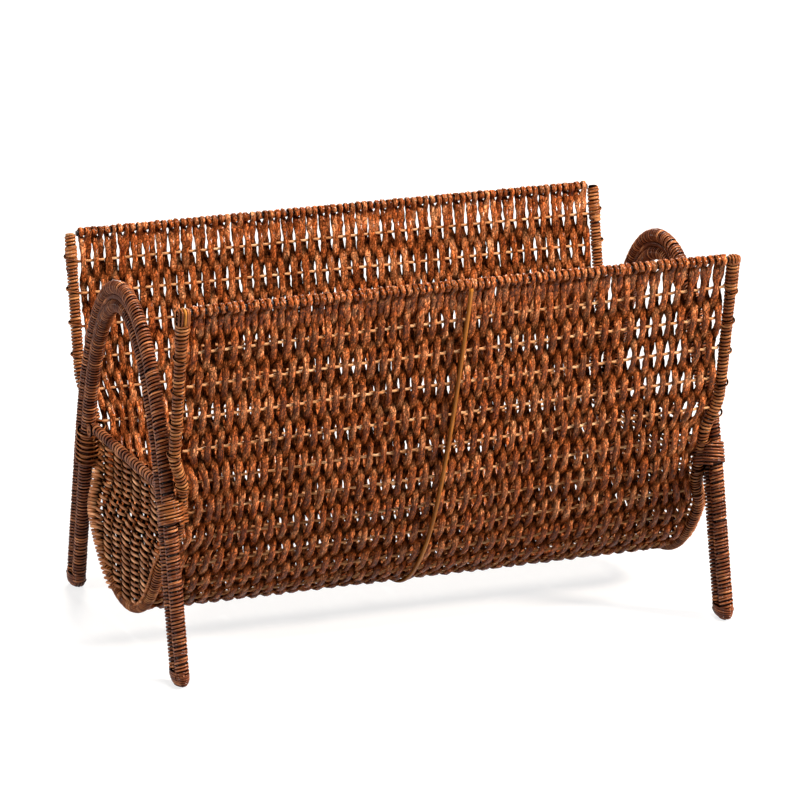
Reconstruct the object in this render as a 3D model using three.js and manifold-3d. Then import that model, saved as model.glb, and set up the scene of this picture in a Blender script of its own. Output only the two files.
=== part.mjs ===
// A magazine basket of wrapped cane: two end frames with a woven trough hung between them.
// Lengths are millimetres. +X runs along the trough, -Y is the front, +Z is up, and the feet stand on z = 0.
// Each end frame lies near a plane of constant X. It has an arch of two rods whose ends are the legs,
// and a hoop whose two upper arms are the posts that carry the rails.
import * as THREE from 'three';
import { mergeVertices } from 'three/addons/utils/BufferGeometryUtils.js';
import Module from 'manifold-3d';

const wasm = await Module();
wasm.setup();

// Overall sizes
const RAIL_LENGTH = 405; // over the outer faces of the posts at the rails
const TOP_WIDTH = 255; // over the outer faces of the posts at the rails
const HEIGHT = 265; // floor to the top of the front rail

// Clearances
const FIT_GAP = 0.3; // between two pieces that touch
const CUT_OVERRUN = 12; // how far a cut runs past the piece that it cuts
const CHORD_SLACK = 0.3; // extra reach of a winding, so that its straight steps clear the rods

// Arch rods: a cane core inside a wound reed sleeve, two rods side by side
const ARCH_CORE_RADIUS = 3.3;
const ARCH_WRAP_THICKNESS = 1.2;
const ARCH_RADIUS = ARCH_CORE_RADIUS + FIT_GAP + ARCH_WRAP_THICKNESS;
const RUNNER_WIDTH = 2.2; // the strand that fills the groove between the two rods
const RUNNER_DEPTH = 6;
const RUNNER_SIDES = 6;
const ARCH_ROD_SPACING = 2 * ARCH_RADIUS + 2 * FIT_GAP + RUNNER_WIDTH;
const ARCH_PLANE_INSET = 2.5; // from the end of the rails in to the plane of the arch
const ARCH_PLANE = RAIL_LENGTH / 2 - ARCH_PLANE_INSET;

// Arch profile, along the line midway between its two rods
const FOOT_INSET = 12.3; // from the outer face of the post's top in to the middle of the foot
const FOOT_HALF_SPAN = TOP_WIDTH / 2 - FOOT_INSET;
const SHOULDER_HEIGHT = 110; // where the straight leg begins to curve
const LEG_RUN = 24.4; // how far the straight leg leans in over that height
const SHOULDER_PULL = 52; // length of the curve's handle at the shoulder
const CROWN_HEIGHT = 240.5;
const CROWN_PULL = 52; // length of the curve's handle at the crown

// Feet
const FOOT_CAP_HEIGHT = 8; // floor to the ends of the leg rods
const FOOT_CAP_OVERLAP = 0.5; // how far the cap stands out past the rods

// Hoop: posts at the top, round belly at the bottom
const HOOP_CORE_RADIUS = 2.8;
const HOOP_WRAP_THICKNESS = 1.2;
const HOOP_RADIUS = HOOP_CORE_RADIUS + FIT_GAP + HOOP_WRAP_THICKNESS;
const POST_TOP_DROP = 3; // from the top of the rails down to the end of the post
const POST_TOP = HEIGHT - POST_TOP_DROP;
const REAR_DROP = 6; // how much lower the rear posts and the rear rail end than the front ones
const POST_TOP_HALF_SPAN = TOP_WIDTH / 2 - HOOP_RADIUS;
const POST_FOOT_HEIGHT = 190; // where the straight post begins to curve into the hoop
const POST_RUN = 13.6; // how far the straight post leans in from its top to there
const POST_FOOT_HALF_SPAN = POST_TOP_HALF_SPAN - POST_RUN;
const POST_PULL = 75; // length of the curve's handle below the post
const BELLY_PULL = 70; // length of the curve's handle at the bottom of the hoop
const BELLY_HEIGHT = 23; // centre of the hoop at its lowest point

// Hoop in plan: it bends in past the arch at the crossing, and comes back out above and below it
const HOOP_TOP_PLANE = RAIL_LENGTH / 2 - HOOP_RADIUS;
const HOOP_CROSSING_PLANE = ARCH_PLANE - ARCH_RADIUS - HOOP_RADIUS - FIT_GAP;
const BELLY_INSET = 1; // from the plane of the arch in to the plane of the belly
const HOOP_BELLY_PLANE = ARCH_PLANE - BELLY_INSET;
const BEND_NEAR = 16; // height above and below the crossing over which the hoop keeps fully in
const BEND_FAR = 46; // height above and below the crossing at which it is back out

// Steps of the curves
const CURVE_STEPS = 10; // in each half of the arch
const HOOP_STEPS = 18; // in each half of the hoop
const JOINT_STEP = 6; // the step at which the hoop crosses the leg, under its lashing
const TUBE_SIDES = 8;

// Crossbar between the two legs of an arch
const CROSSBAR_HEIGHT = 128;
const CROSSBAR_INSET = 2; // from the plane of the arch in to the crossbar
const CROSSBAR_CORE_RADIUS = 2.2;
const CROSSBAR_WRAP_THICKNESS = 1.1;
const CROSSBAR_RADIUS = CROSSBAR_CORE_RADIUS + FIT_GAP + CROSSBAR_WRAP_THICKNESS;

// Rails along the top of the trough
const RAIL_CORE_RADIUS = 2;
const RAIL_BINDING_THICKNESS = 1;
const RAIL_RADIUS = RAIL_CORE_RADIUS + FIT_GAP + RAIL_BINDING_THICKNESS;
const RAIL_HEIGHT = HEIGHT - RAIL_RADIUS;

// Woven trough
const TROUGH_THICKNESS = 5; // at a row of weft, where the strands lie on both sides of it
const STRAND_DEPTH = 1.9; // thickness midway between two rows, where the strands cross over
const TROUGH_END_GAP = 2.9; // from the hoop to the last strand
const WEFT_ROWS = 24; // from rail to rail
const WEFT_DROP = 16.5; // along the sheet, from its top edge to the first row of weft
const ROW_STEPS = 4; // steps of the sheet from one row to the next

// Cane that runs round the middle of the trough
const BELT_RADIUS = 1.5;
const BELT_PLACE = 4; // along X, from the middle
const BELT_SIDES = 6;

// Wicker panel that closes the end below the crossbar
const PANEL_THICKNESS = 4;
const STAKE_RADIUS = 1.4;
const STAKE_COUNT = 5;
const STAKE_SPACING = 20;
const STAKE_SIDES = 6;

// Windings
const REED_RADIUS = 0.9;
const REED_SIDES = 5;
const TURN_GAP = 0.5; // between neighbouring turns
const TURN_PITCH = 2 * REED_RADIUS + TURN_GAP;
const LASHING_TURNS = 7;
const LASHING_STEPS = 14; // in each turn
const TIE_TURNS = 6;
const TIE_STEPS = 10;
const TIE_DROP = 9; // from the rail's underside down to the first turn

// Finishes: colour, roughness
const FINISHES = {
  darkReed: [0x4a2413, 0.55],
  copperReed: [0x8a4a26, 0.5],
  cane: [0xb07a45, 0.6],
  strand: [0x7c3b20, 0.55],
  goldenCane: [0xa8672f, 0.45],
};

const basket = new THREE.Group();

// Points of a curve that are kept where they are given, so that straight stretches take one step.
class StationCurve extends THREE.Curve {
  constructor(stations) {
    super();
    this.stations = stations;
  }

  getPoint(t) {
    const last = this.stations.length - 1;
    const place = Math.min(Math.max(t, 0), 1) * last;
    const from = Math.min(Math.floor(place), last - 1);
    return this.stations[from].clone().lerp(this.stations[from + 1], place - from);
  }

  getPointAt(u) {
    return this.getPoint(u);
  }

  getTangentAt(u) {
    const last = this.stations.length - 1;
    const at = Math.round(u * last);
    const before = this.stations[Math.max(at - 1, 0)];
    const after = this.stations[Math.min(at + 1, last)];
    return after.clone().sub(before).normalize();
  }
}

function addPiece(name, geometry, finish) {
  const [color, roughness] = FINISHES[finish];
  const mesh = new THREE.Mesh(geometry, new THREE.MeshStandardMaterial({ color, roughness, metalness: 0 }));
  mesh.name = name;
  basket.add(mesh);
}

function ringPoints(halfWidth, halfDepth, sides) {
  return Array.from({ length: sides }, (_, i) => {
    const angle = (2 * Math.PI * (i + 1 / 2)) / sides;
    return new THREE.Vector2(halfWidth * Math.cos(angle), halfDepth * Math.sin(angle));
  });
}

// A solid of one section along stations. A bore radius above zero makes it a sleeve.
function sweep(stations, halfWidth, halfDepth, sides, bore = 0) {
  const section = new THREE.Shape(ringPoints(halfWidth, halfDepth, sides));
  if (bore > 0) {
    section.holes.push(new THREE.Path(ringPoints(bore, bore, sides).reverse()));
  }
  const extrudePath = new StationCurve(stations);
  return new THREE.ExtrudeGeometry(section, { steps: stations.length - 1, extrudePath, bevelEnabled: false });
}

function rod(stations, radius, sides = TUBE_SIDES) {
  return sweep(stations, radius, radius, sides);
}

function sleeve(stations, radius, bore) {
  return sweep(stations, radius, radius, TUBE_SIDES, bore);
}

// Booleans
function solidOf(geometry) {
  const bare = geometry.clone();
  bare.deleteAttribute('normal');
  bare.deleteAttribute('uv');
  const merged = mergeVertices(bare);
  return new wasm.Manifold(
    new wasm.Mesh({
      numProp: 3,
      vertProperties: merged.attributes.position.array,
      triVerts: new Uint32Array(merged.index.array),
    }),
  );
}

function geometryOf(solid) {
  const mesh = solid.getMesh();
  const geometry = new THREE.BufferGeometry();
  geometry.setAttribute('position', new THREE.BufferAttribute(new Float32Array(mesh.vertProperties), 3));
  geometry.setIndex(new THREE.BufferAttribute(new Uint32Array(mesh.triVerts), 1));
  return geometry;
}

function boxBetween(low, high) {
  const size = high.clone().sub(low);
  const centre = high.clone().add(low).multiplyScalar(1 / 2);
  return new THREE.BoxGeometry(size.x, size.y, size.z).translate(centre.x, centre.y, centre.z);
}

// Arch profile in the plane of the frame: x of a Vector2 is the distance from the middle, y is the height
const LEG_UP = new THREE.Vector2(-LEG_RUN, SHOULDER_HEIGHT).normalize();
const LEG_OUT = new THREE.Vector2(LEG_UP.y, -LEG_UP.x);

function legPoint(height) {
  return new THREE.Vector2(FOOT_HALF_SPAN - (LEG_RUN * height) / SHOULDER_HEIGHT, height);
}

function archProfile(offset) {
  const shoulder = legPoint(SHOULDER_HEIGHT);
  const crown = new THREE.CubicBezierCurve(
    shoulder,
    shoulder.clone().addScaledVector(LEG_UP, SHOULDER_PULL),
    new THREE.Vector2(CROWN_PULL, CROWN_HEIGHT),
    new THREE.Vector2(0, CROWN_HEIGHT),
  );
  const half = [legPoint(FOOT_CAP_HEIGHT).addScaledVector(LEG_OUT, offset)];
  for (let i = 0; i <= CURVE_STEPS; i++) {
    const along = crown.getTangent(i / CURVE_STEPS);
    const outward = new THREE.Vector2(along.y, -along.x);
    half.push(crown.getPoint(i / CURVE_STEPS).addScaledVector(outward, offset));
  }
  const mirrored = half.slice(0, -1).map((p) => new THREE.Vector2(-p.x, p.y));
  return [...half, ...mirrored.reverse()];
}

function archStations(side, offset) {
  return archProfile(offset).map((p) => new THREE.Vector3(side * ARCH_PLANE, p.x, p.y));
}

// Hoop profile, from the top of the rear post round the belly to the top of the front post
function hoopProfile() {
  const top = new THREE.Vector2(POST_TOP_HALF_SPAN, POST_TOP);
  const bend = new THREE.Vector2(POST_FOOT_HALF_SPAN, POST_FOOT_HEIGHT);
  const down = bend.clone().sub(top).normalize();
  const belly = new THREE.CubicBezierCurve(
    bend,
    bend.clone().addScaledVector(down, POST_PULL),
    new THREE.Vector2(BELLY_PULL, BELLY_HEIGHT),
    new THREE.Vector2(0, BELLY_HEIGHT),
  );
  const rearTop = top.clone().lerp(bend, REAR_DROP / (POST_TOP - POST_FOOT_HEIGHT));
  const half = belly.getPoints(HOOP_STEPS);
  const mirrored = [top, ...half.slice(0, -1)].map((p) => new THREE.Vector2(-p.x, p.y));
  return [rearTop, ...half, ...mirrored.reverse()];
}

const HOOP_PROFILE = hoopProfile();
const JOINT_INDEX = JOINT_STEP + 1; // in the profile, which has the post's top before the curve
const JOINT_HEIGHT = HOOP_PROFILE[JOINT_INDEX].y;

// Distance of the hoop from the middle of the basket along X, at a height, if it did not bend round the arch
function straightPlane(height) {
  return THREE.MathUtils.lerp(HOOP_BELLY_PLANE, HOOP_TOP_PLANE, height / POST_TOP);
}

function hoopPlane(height) {
  const bendShare = 1 - THREE.MathUtils.smoothstep(Math.abs(height - JOINT_HEIGHT), BEND_NEAR, BEND_FAR);
  return straightPlane(height) - bendShare * (straightPlane(JOINT_HEIGHT) - HOOP_CROSSING_PLANE);
}

function hoopStations(side) {
  return HOOP_PROFILE.map((p) => new THREE.Vector3(side * hoopPlane(p.y), p.x, p.y));
}

// The same stations with the first and last drawn in by half a fit gap
function trimmed(stations) {
  const ends = stations.map((p) => p.clone());
  const last = ends.length - 1;
  const inward = (from, to) => to.clone().sub(from).setLength(FIT_GAP / 2);
  ends[0].add(inward(stations[0], stations[1]));
  ends[last].add(inward(stations[last], stations[last - 1]));
  return ends;
}

// Normal of a profile at one of its points, pointing to the outside of the trough
function outwardAt(profile, i) {
  const before = profile[Math.max(i - 1, 0)];
  const after = profile[Math.min(i + 1, profile.length - 1)];
  const along = after.clone().sub(before).normalize();
  return new THREE.Vector2(-along.y, along.x);
}

function offsetProfile(profile, distance) {
  return profile.map((p, i) => p.clone().addScaledVector(outwardAt(profile, i), distance));
}

// Turns an outline drawn in the plane of the frame into a plate that is centred on a place along X
function plateAcross(outline, thickness, place) {
  const plate = new THREE.ExtrudeGeometry(new THREE.Shape(outline), { depth: thickness, bevelEnabled: false });
  plate.translate(0, 0, place - thickness / 2);
  const toFrame = new THREE.Matrix4().makeBasis(
    new THREE.Vector3(0, 1, 0),
    new THREE.Vector3(0, 0, 1),
    new THREE.Vector3(1, 0, 0),
  );
  return plate.applyMatrix4(toFrame);
}

// Lashings: one reed wound round both rods of the leg and the hoop that crosses them
const LASHING_HALF_HEIGHT = (LASHING_TURNS * TURN_PITCH) / 2;
const WINDING_REACH = FIT_GAP + CHORD_SLACK + REED_RADIUS;
const JOINT_CENTRE = legPoint(JOINT_HEIGHT);
const JOINT_RUN = HOOP_PROFILE[JOINT_INDEX - 1].clone().sub(HOOP_PROFILE[JOINT_INDEX + 1]).normalize();
const HOOP_SECTION_RADIUS = HOOP_RADIUS / JOINT_RUN.dot(LEG_UP); // the hoop cut square to the leg

// Place of the hoop in the section of the bundle at a distance along the leg from its joint
function hoopInSection(along) {
  const local = hoopStations(1).map((p) => {
    const fromJoint = new THREE.Vector2(p.y, p.z).sub(JOINT_CENTRE);
    return { along: fromJoint.dot(LEG_UP), out: fromJoint.dot(LEG_OUT), inward: ARCH_PLANE - p.x };
  });
  const next = local.findIndex((p) => p.along < along);
  const share = (along - local[next].along) / (local[next - 1].along - local[next].along);
  return new THREE.Vector2(
    THREE.MathUtils.lerp(local[next].out, local[next - 1].out, share),
    THREE.MathUtils.lerp(local[next].inward, local[next - 1].inward, share),
  );
}

function lashingStations(side, front) {
  const steps = LASHING_TURNS * LASHING_STEPS;
  const middle = new THREE.Vector2(0, hoopInSection(0).y / 2);
  return Array.from({ length: steps + 1 }, (_, i) => {
    const along = LASHING_HALF_HEIGHT * ((2 * i) / steps - 1);
    const angle = (2 * Math.PI * i) / LASHING_STEPS;
    const facing = new THREE.Vector2(Math.cos(angle), Math.sin(angle));
    const hoop = hoopInSection(along).sub(middle);
    const outer = new THREE.Vector2(ARCH_ROD_SPACING / 2, -middle.y);
    const inner = new THREE.Vector2(-ARCH_ROD_SPACING / 2, -middle.y);
    const reach = Math.max(
      facing.dot(hoop) + HOOP_SECTION_RADIUS,
      facing.dot(outer) + ARCH_RADIUS,
      facing.dot(inner) + ARCH_RADIUS,
    );
    const place = middle.clone().addScaledVector(facing, reach + WINDING_REACH);
    const inFrame = JOINT_CENTRE.clone().addScaledVector(LEG_UP, along).addScaledVector(LEG_OUT, place.x);
    return new THREE.Vector3(side * (ARCH_PLANE - place.y), front * inFrame.x, inFrame.y);
  });
}

// Top of a post and the place where it bends, both as if on the rear right
function postEnds(front) {
  const stations = hoopStations(1);
  const ends = front > 0 ? stations.slice(0, 2) : stations.slice(-2).reverse();
  return ends.map((p) => new THREE.Vector3(p.x, front * p.y, p.z));
}

// Corner ties: a reed wound round the top of each post, under the rail's end
function tieStations(side, front) {
  const [top, bend] = postEnds(front);
  const down = bend.clone().sub(top).normalize();
  const across = new THREE.Vector3(1, 0, 0).projectOnPlane(down).normalize();
  const over = down.clone().cross(across);
  const steps = TIE_TURNS * TIE_STEPS;
  const reach = HOOP_RADIUS + WINDING_REACH;
  const firstDrop = TIE_DROP + POST_TOP - RAIL_HEIGHT + RAIL_RADIUS;
  return Array.from({ length: steps + 1 }, (_, i) => {
    const angle = (2 * Math.PI * i) / TIE_STEPS;
    const drop = firstDrop + (TURN_PITCH * i) / TIE_STEPS;
    const p = top.clone().addScaledVector(down, drop);
    p.addScaledVector(across, reach * Math.cos(angle)).addScaledVector(over, reach * Math.sin(angle));
    return new THREE.Vector3(side * p.x, front * p.y, p.z);
  });
}

// Least gap between parts of one winding that lie more than half a turn apart
function leastGap(stations, stepsPerTurn) {
  let least = Infinity;
  for (let i = 0; i < stations.length; i++) {
    for (let j = i + Math.ceil(stepsPerTurn / 2); j < stations.length; j++) {
      least = Math.min(least, stations[i].distanceTo(stations[j]));
    }
  }
  return least - 2 * REED_RADIUS;
}

// Feet: a bound cap on the two rods of each leg, cut flat on the floor
const FOOT_RINGS = [
  { depthShare: 0, sizeShare: 1 },
  { depthShare: 0.45, sizeShare: 0.97 },
  { depthShare: 0.8, sizeShare: 0.86 },
  { depthShare: 1.4, sizeShare: 0.6 },
];
const FOOT_SIDES = 14;

function footCap(side, front) {
  const top = legPoint(FOOT_CAP_HEIGHT).addScaledVector(LEG_UP, -FIT_GAP);
  const halfWidth = ARCH_ROD_SPACING / 2 + ARCH_RADIUS + FOOT_CAP_OVERLAP;
  const halfDepth = ARCH_RADIUS + FOOT_CAP_OVERLAP;
  const rings = FOOT_RINGS.map(({ depthShare, sizeShare }) => {
    const centre = top.clone().addScaledVector(LEG_UP, -FOOT_CAP_HEIGHT * depthShare);
    return ringPoints(halfWidth * sizeShare, halfDepth * sizeShare, FOOT_SIDES).map((p) => {
      const inFrame = centre.clone().addScaledVector(LEG_OUT, p.x);
      return new THREE.Vector3(side * (ARCH_PLANE + p.y), front * inFrame.x, inFrame.y);
    });
  });
  const body = solidOf(loft(rings, side * front > 0));
  const reach = halfWidth + CUT_OVERRUN;
  const middle = legPoint(0);
  const low = new THREE.Vector3(side * ARCH_PLANE - reach, front * middle.x - reach, 0);
  const high = new THREE.Vector3(side * ARCH_PLANE + reach, front * middle.x + reach, FOOT_CAP_HEIGHT + reach);
  return geometryOf(body.intersect(solidOf(boxBetween(low, high))));
}

// A closed body through rings of the same count
function loft(rings, turned) {
  const sides = rings[0].length;
  const points = rings.flat();
  const faces = [];
  const addFace = (a, b, c) => faces.push(...(turned ? [a, b, c] : [a, c, b]));
  for (let r = 0; r < rings.length - 1; r++) {
    for (let i = 0; i < sides; i++) {
      const next = (i + 1) % sides;
      addFace(r * sides + i, r * sides + next, (r + 1) * sides + i);
      addFace(r * sides + next, (r + 1) * sides + next, (r + 1) * sides + i);
    }
  }
  const last = (rings.length - 1) * sides;
  for (let i = 1; i < sides - 1; i++) {
    addFace(0, i + 1, i);
    addFace(last, last + i, last + i + 1);
  }
  const geometry = new THREE.BufferGeometry().setFromPoints(points);
  geometry.setIndex(faces);
  return geometry;
}

// Room that a lashing takes, for the weave that it passes through
function lashingRoom(side, front) {
  const room = new THREE.Box3().setFromPoints(lashingStations(side, front));
  room.expandByScalar(REED_RADIUS + FIT_GAP);
  return solidOf(boxBetween(room.min, room.max));
}

function cutForLashings(geometry, sides) {
  let body = solidOf(geometry);
  for (const side of sides) {
    for (const front of [-1, 1]) {
      body = body.subtract(lashingRoom(side, front));
    }
  }
  return geometryOf(body);
}

function addArch(label, side) {
  const offsets = { outer: ARCH_ROD_SPACING / 2, inner: -ARCH_ROD_SPACING / 2 };
  for (const [place, offset] of Object.entries(offsets)) {
    const stations = archStations(side, offset);
    addPiece(`${label}_arch_${place}_core`, rod(stations, ARCH_CORE_RADIUS), 'cane');
    addPiece(`${label}_arch_${place}_wrap`, sleeve(stations, ARCH_RADIUS, ARCH_CORE_RADIUS + FIT_GAP), 'darkReed');
  }
  const runner = sweep(archStations(side, 0), RUNNER_DEPTH / 2, RUNNER_WIDTH / 2, RUNNER_SIDES);
  addPiece(`${label}_arch_runner`, runner, 'goldenCane');
}

function addHoop(label, side) {
  const stations = hoopStations(side);
  const bore = HOOP_CORE_RADIUS + FIT_GAP;
  const farJoint = stations.length - 1 - JOINT_INDEX;
  const parts = {
    rear_post_wrap: stations.slice(0, JOINT_INDEX + 1),
    belly_hoop_wrap: stations.slice(JOINT_INDEX, farJoint + 1),
    front_post_wrap: stations.slice(farJoint),
  };
  addPiece(`${label}_hoop_core`, rod(stations, HOOP_CORE_RADIUS), 'cane');
  for (const [name, part] of Object.entries(parts)) {
    addPiece(`${label}_${name}`, sleeve(trimmed(part), HOOP_RADIUS, bore), 'copperReed');
  }
}

// Distance from the middle at which a profile passes a height, on the side where it starts
function spanAt(profile, height) {
  const next = profile.findIndex((p, i) => i > 0 && (p.y - height) * (profile[i - 1].y - height) <= 0);
  const share = (height - profile[next - 1].y) / (profile[next].y - profile[next - 1].y);
  return THREE.MathUtils.lerp(profile[next - 1].x, profile[next].x, share);
}

// Line just inside the inner rod of the arch
function insideArch() {
  return archProfile(-ARCH_ROD_SPACING / 2 - ARCH_RADIUS - FIT_GAP);
}

function addCrossbar(label, side) {
  const halfLength = spanAt(insideArch(), CROSSBAR_HEIGHT + CROSSBAR_RADIUS);
  const place = side * (ARCH_PLANE - CROSSBAR_INSET);
  const stations = [1, -1].map((end) => new THREE.Vector3(place, end * halfLength, CROSSBAR_HEIGHT));
  const bore = CROSSBAR_CORE_RADIUS + FIT_GAP;
  addPiece(`${label}_crossbar_core`, rod(stations, CROSSBAR_CORE_RADIUS), 'cane');
  addPiece(`${label}_crossbar_wrap`, sleeve(stations, CROSSBAR_RADIUS, bore), 'darkReed');
}

// Height of the inner face of the hoop's belly at a distance from the middle
function bellyFloor(distance) {
  const inside = offsetProfile(HOOP_PROFILE, -HOOP_RADIUS - FIT_GAP);
  const half = inside.slice(0, Math.ceil(inside.length / 2)).map((p) => new THREE.Vector2(p.y, p.x));
  return spanAt(half, distance);
}

const PANEL_TOP = CROSSBAR_HEIGHT - CROSSBAR_RADIUS - FIT_GAP;

// The panel fills the hoop below the crossbar, and stays inside the arch where the arch is the narrower
function panelOutline() {
  const inside = offsetProfile(HOOP_PROFILE, -HOOP_RADIUS - FIT_GAP).filter((p) => p.y < PANEL_TOP);
  const outline = [new THREE.Vector2(inside[0].x, PANEL_TOP), ...inside, new THREE.Vector2(inside.at(-1).x, PANEL_TOP)];
  const arch = insideArch();
  return outline.map((p) => {
    const widest = spanAt(arch, p.y);
    return new THREE.Vector2(THREE.MathUtils.clamp(p.x, -widest, widest), p.y);
  });
}

function addPanel(label, side) {
  const plate = plateAcross(panelOutline(), PANEL_THICKNESS, side * HOOP_BELLY_PLANE);
  addPiece(`${label}_panel_weave`, cutForLashings(plate, [side]), 'darkReed');
  const plane = side * (HOOP_BELLY_PLANE - PANEL_THICKNESS / 2 - FIT_GAP - STAKE_RADIUS);
  for (let i = 0; i < STAKE_COUNT; i++) {
    const distance = (i - (STAKE_COUNT - 1) / 2) * STAKE_SPACING;
    const foot = bellyFloor(Math.abs(distance) + STAKE_RADIUS);
    const stations = [new THREE.Vector3(plane, distance, foot), new THREE.Vector3(plane, distance, PANEL_TOP)];
    addPiece(`${label}_panel_stake_${i + 1}`, rod(stations, STAKE_RADIUS, STAKE_SIDES), 'cane');
  }
}

function addWindings(label, side) {
  const places = { front: -1, rear: 1 };
  for (const [place, front] of Object.entries(places)) {
    const lashing = lashingStations(side, front);
    const tie = tieStations(side, front);
    addPiece(`${label}_${place}_lashing`, rod(lashing, REED_RADIUS, REED_SIDES), 'copperReed');
    addPiece(`${label}_${place}_corner_tie`, rod(tie, REED_RADIUS, REED_SIDES), 'copperReed');
    addPiece(`${label}_${place}_foot_cap`, footCap(side, front), 'darkReed');
    console.log(
      `${label} ${place} winding gaps: lashing ${leastGap(lashing, LASHING_STEPS).toFixed(2)} mm,`,
      `tie ${leastGap(tie, TIE_STEPS).toFixed(2)} mm`,
    );
  }
}

// Height of a rail's middle
function railHeight(front) {
  return front > 0 ? RAIL_HEIGHT - REAR_DROP : RAIL_HEIGHT;
}

// Distance of a post from the middle of the basket along Y, at a height
function postSpan(front, height) {
  const fromTop = front > 0 ? HOOP_PROFILE : [...HOOP_PROFILE].reverse();
  return Math.abs(spanAt(fromTop, height));
}

function addRail(label, front) {
  const height = railHeight(front);
  const distance = postSpan(front, height);
  const halfLength = hoopPlane(height) - HOOP_RADIUS - FIT_GAP;
  const stations = [-1, 1].map((end) => new THREE.Vector3(end * halfLength, front * distance, height));
  addPiece(`${label}_rail_core`, rod(stations, RAIL_CORE_RADIUS), 'cane');
  addPiece(`${label}_rail_binding`, sleeve(stations, RAIL_RADIUS, RAIL_CORE_RADIUS + FIT_GAP), 'strand');
}

// The hoop's profile, ended just under the rails
function troughProfile() {
  const profile = HOOP_PROFILE.map((p) => p.clone());
  for (const [front, end] of [[1, profile[0]], [-1, profile.at(-1)]]) {
    const top = railHeight(front) - RAIL_RADIUS - FIT_GAP;
    end.set(front * postSpan(front, top), top);
  }
  return profile;
}

// Point of a profile at a distance along it
function pointAlong(profile, distance) {
  let left = distance;
  let next = 1;
  while (next < profile.length - 1 && left > profile[next].distanceTo(profile[next - 1])) {
    left -= profile[next].distanceTo(profile[next - 1]);
    next += 1;
  }
  return profile[next - 1].clone().lerp(profile[next], left / profile[next].distanceTo(profile[next - 1]));
}

// Half the thickness of the woven sheet, which swells at each row of weft
function halfThickness(distance, rowSpacing) {
  const swell = Math.abs(Math.cos((Math.PI * (distance - WEFT_DROP)) / rowSpacing));
  return (STRAND_DEPTH + (TROUGH_THICKNESS - STRAND_DEPTH) * swell) / 2;
}

// Stations of the woven sheet from its rear edge to its front edge, each with its half thickness
function sheetStations() {
  const profile = troughProfile();
  const length = profile.slice(1).reduce((sum, p, i) => sum + p.distanceTo(profile[i]), 0);
  const rowSpacing = (length - 2 * WEFT_DROP) / (WEFT_ROWS - 1);
  const first = WEFT_DROP - rowSpacing / 2;
  const steps = Array.from({ length: WEFT_ROWS * ROW_STEPS + 1 }, (_, i) => first + (rowSpacing * i) / ROW_STEPS);
  return [0, ...steps, length].map((distance) => ({
    point: pointAlong(profile, distance),
    half: halfThickness(distance, rowSpacing),
  }));
}

// One U-shaped sheet, whose ends follow the hoops: a ring of four corners at each station
function addTrough() {
  const stations = sheetStations();
  const profile = stations.map((station) => station.point);
  const rings = stations.map(({ point, half }, i) => {
    const atEdge = i === 0 || i === stations.length - 1;
    const faces = [-half, half].map((distance) => point.clone().addScaledVector(outwardAt(profile, i), distance));
    const [inside, outside] = faces.map((p) => (atEdge ? new THREE.Vector2(p.x, point.y) : p));
    const end = hoopPlane(point.y) - HOOP_RADIUS - TROUGH_END_GAP;
    const corner = (at, side) => new THREE.Vector3(side * end, at.x, at.y);
    return [corner(inside, -1), corner(inside, 1), corner(outside, 1), corner(outside, -1)];
  });
  addPiece('trough_weave', cutForLashings(loft(rings, false), [-1, 1]), 'strand');
}

function addBelt() {
  const distance = TROUGH_THICKNESS / 2 + FIT_GAP + BELT_RADIUS;
  const around = offsetProfile(troughProfile(), distance);
  const stations = around.map((p) => new THREE.Vector3(BELT_PLACE, p.x, p.y));
  addPiece('centre_cane', rod(stations, BELT_RADIUS, BELT_SIDES), 'goldenCane');
}

for (const [label, side] of Object.entries({ left: -1, right: 1 })) {
  addArch(label, side);
  addHoop(label, side);
  addCrossbar(label, side);
  addPanel(label, side);
  addWindings(label, side);
}
addRail('front', -1);
addRail('rear', 1);
addTrough();
addBelt();

export default basket;
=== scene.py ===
import logging
import math
from dataclasses import dataclass, field
from enum import Enum

import bpy
import numpy as np
from mathutils import Matrix, Vector


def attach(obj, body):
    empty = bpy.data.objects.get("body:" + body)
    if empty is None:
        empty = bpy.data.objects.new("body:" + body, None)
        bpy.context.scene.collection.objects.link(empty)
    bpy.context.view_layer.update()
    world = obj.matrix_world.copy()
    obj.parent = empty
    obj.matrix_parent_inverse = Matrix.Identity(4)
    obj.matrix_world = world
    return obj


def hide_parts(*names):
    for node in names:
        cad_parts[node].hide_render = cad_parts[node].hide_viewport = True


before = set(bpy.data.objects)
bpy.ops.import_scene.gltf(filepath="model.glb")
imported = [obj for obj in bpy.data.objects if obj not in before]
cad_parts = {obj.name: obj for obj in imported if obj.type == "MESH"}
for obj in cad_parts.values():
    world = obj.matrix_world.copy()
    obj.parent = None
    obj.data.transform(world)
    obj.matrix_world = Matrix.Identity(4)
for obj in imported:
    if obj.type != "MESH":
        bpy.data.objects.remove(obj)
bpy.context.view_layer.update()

MM = 0.001
TAU = 2 * math.pi
log = logging.getLogger("basket")

Array = np.ndarray
Tree = bpy.types.NodeTree
Node = bpy.types.Node
Socket = bpy.types.NodeSocket
Looks = dict[str, bpy.types.Material]
FACES = (("front", -1), ("rear", 1))


class Slot(Enum):
    """Material slots of the record."""

    DARK_REED = "dark_reed"
    COPPER_REED = "copper_reed"
    PEELED_CANE = "peeled_cane"
    CHESTNUT_STRAND = "chestnut_strand"
    GOLDEN_CANE = "golden_cane"


class Side(Enum):
    """The two ends of the basket, with the sign of their X."""

    LEFT = -1
    RIGHT = 1

    @property
    def label(self) -> str:
        """The word that the CAD nodes of this end start with."""
        return self.name.lower()


# Numbers and curves


def smoothstep(value: Array, low: float, high: float) -> Array:
    """Goes smoothly from 0 at low to 1 at high."""
    share = np.clip((np.asarray(value, float) - low) / (high - low), 0, 1)
    return share * share * (3 - 2 * share)


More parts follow.
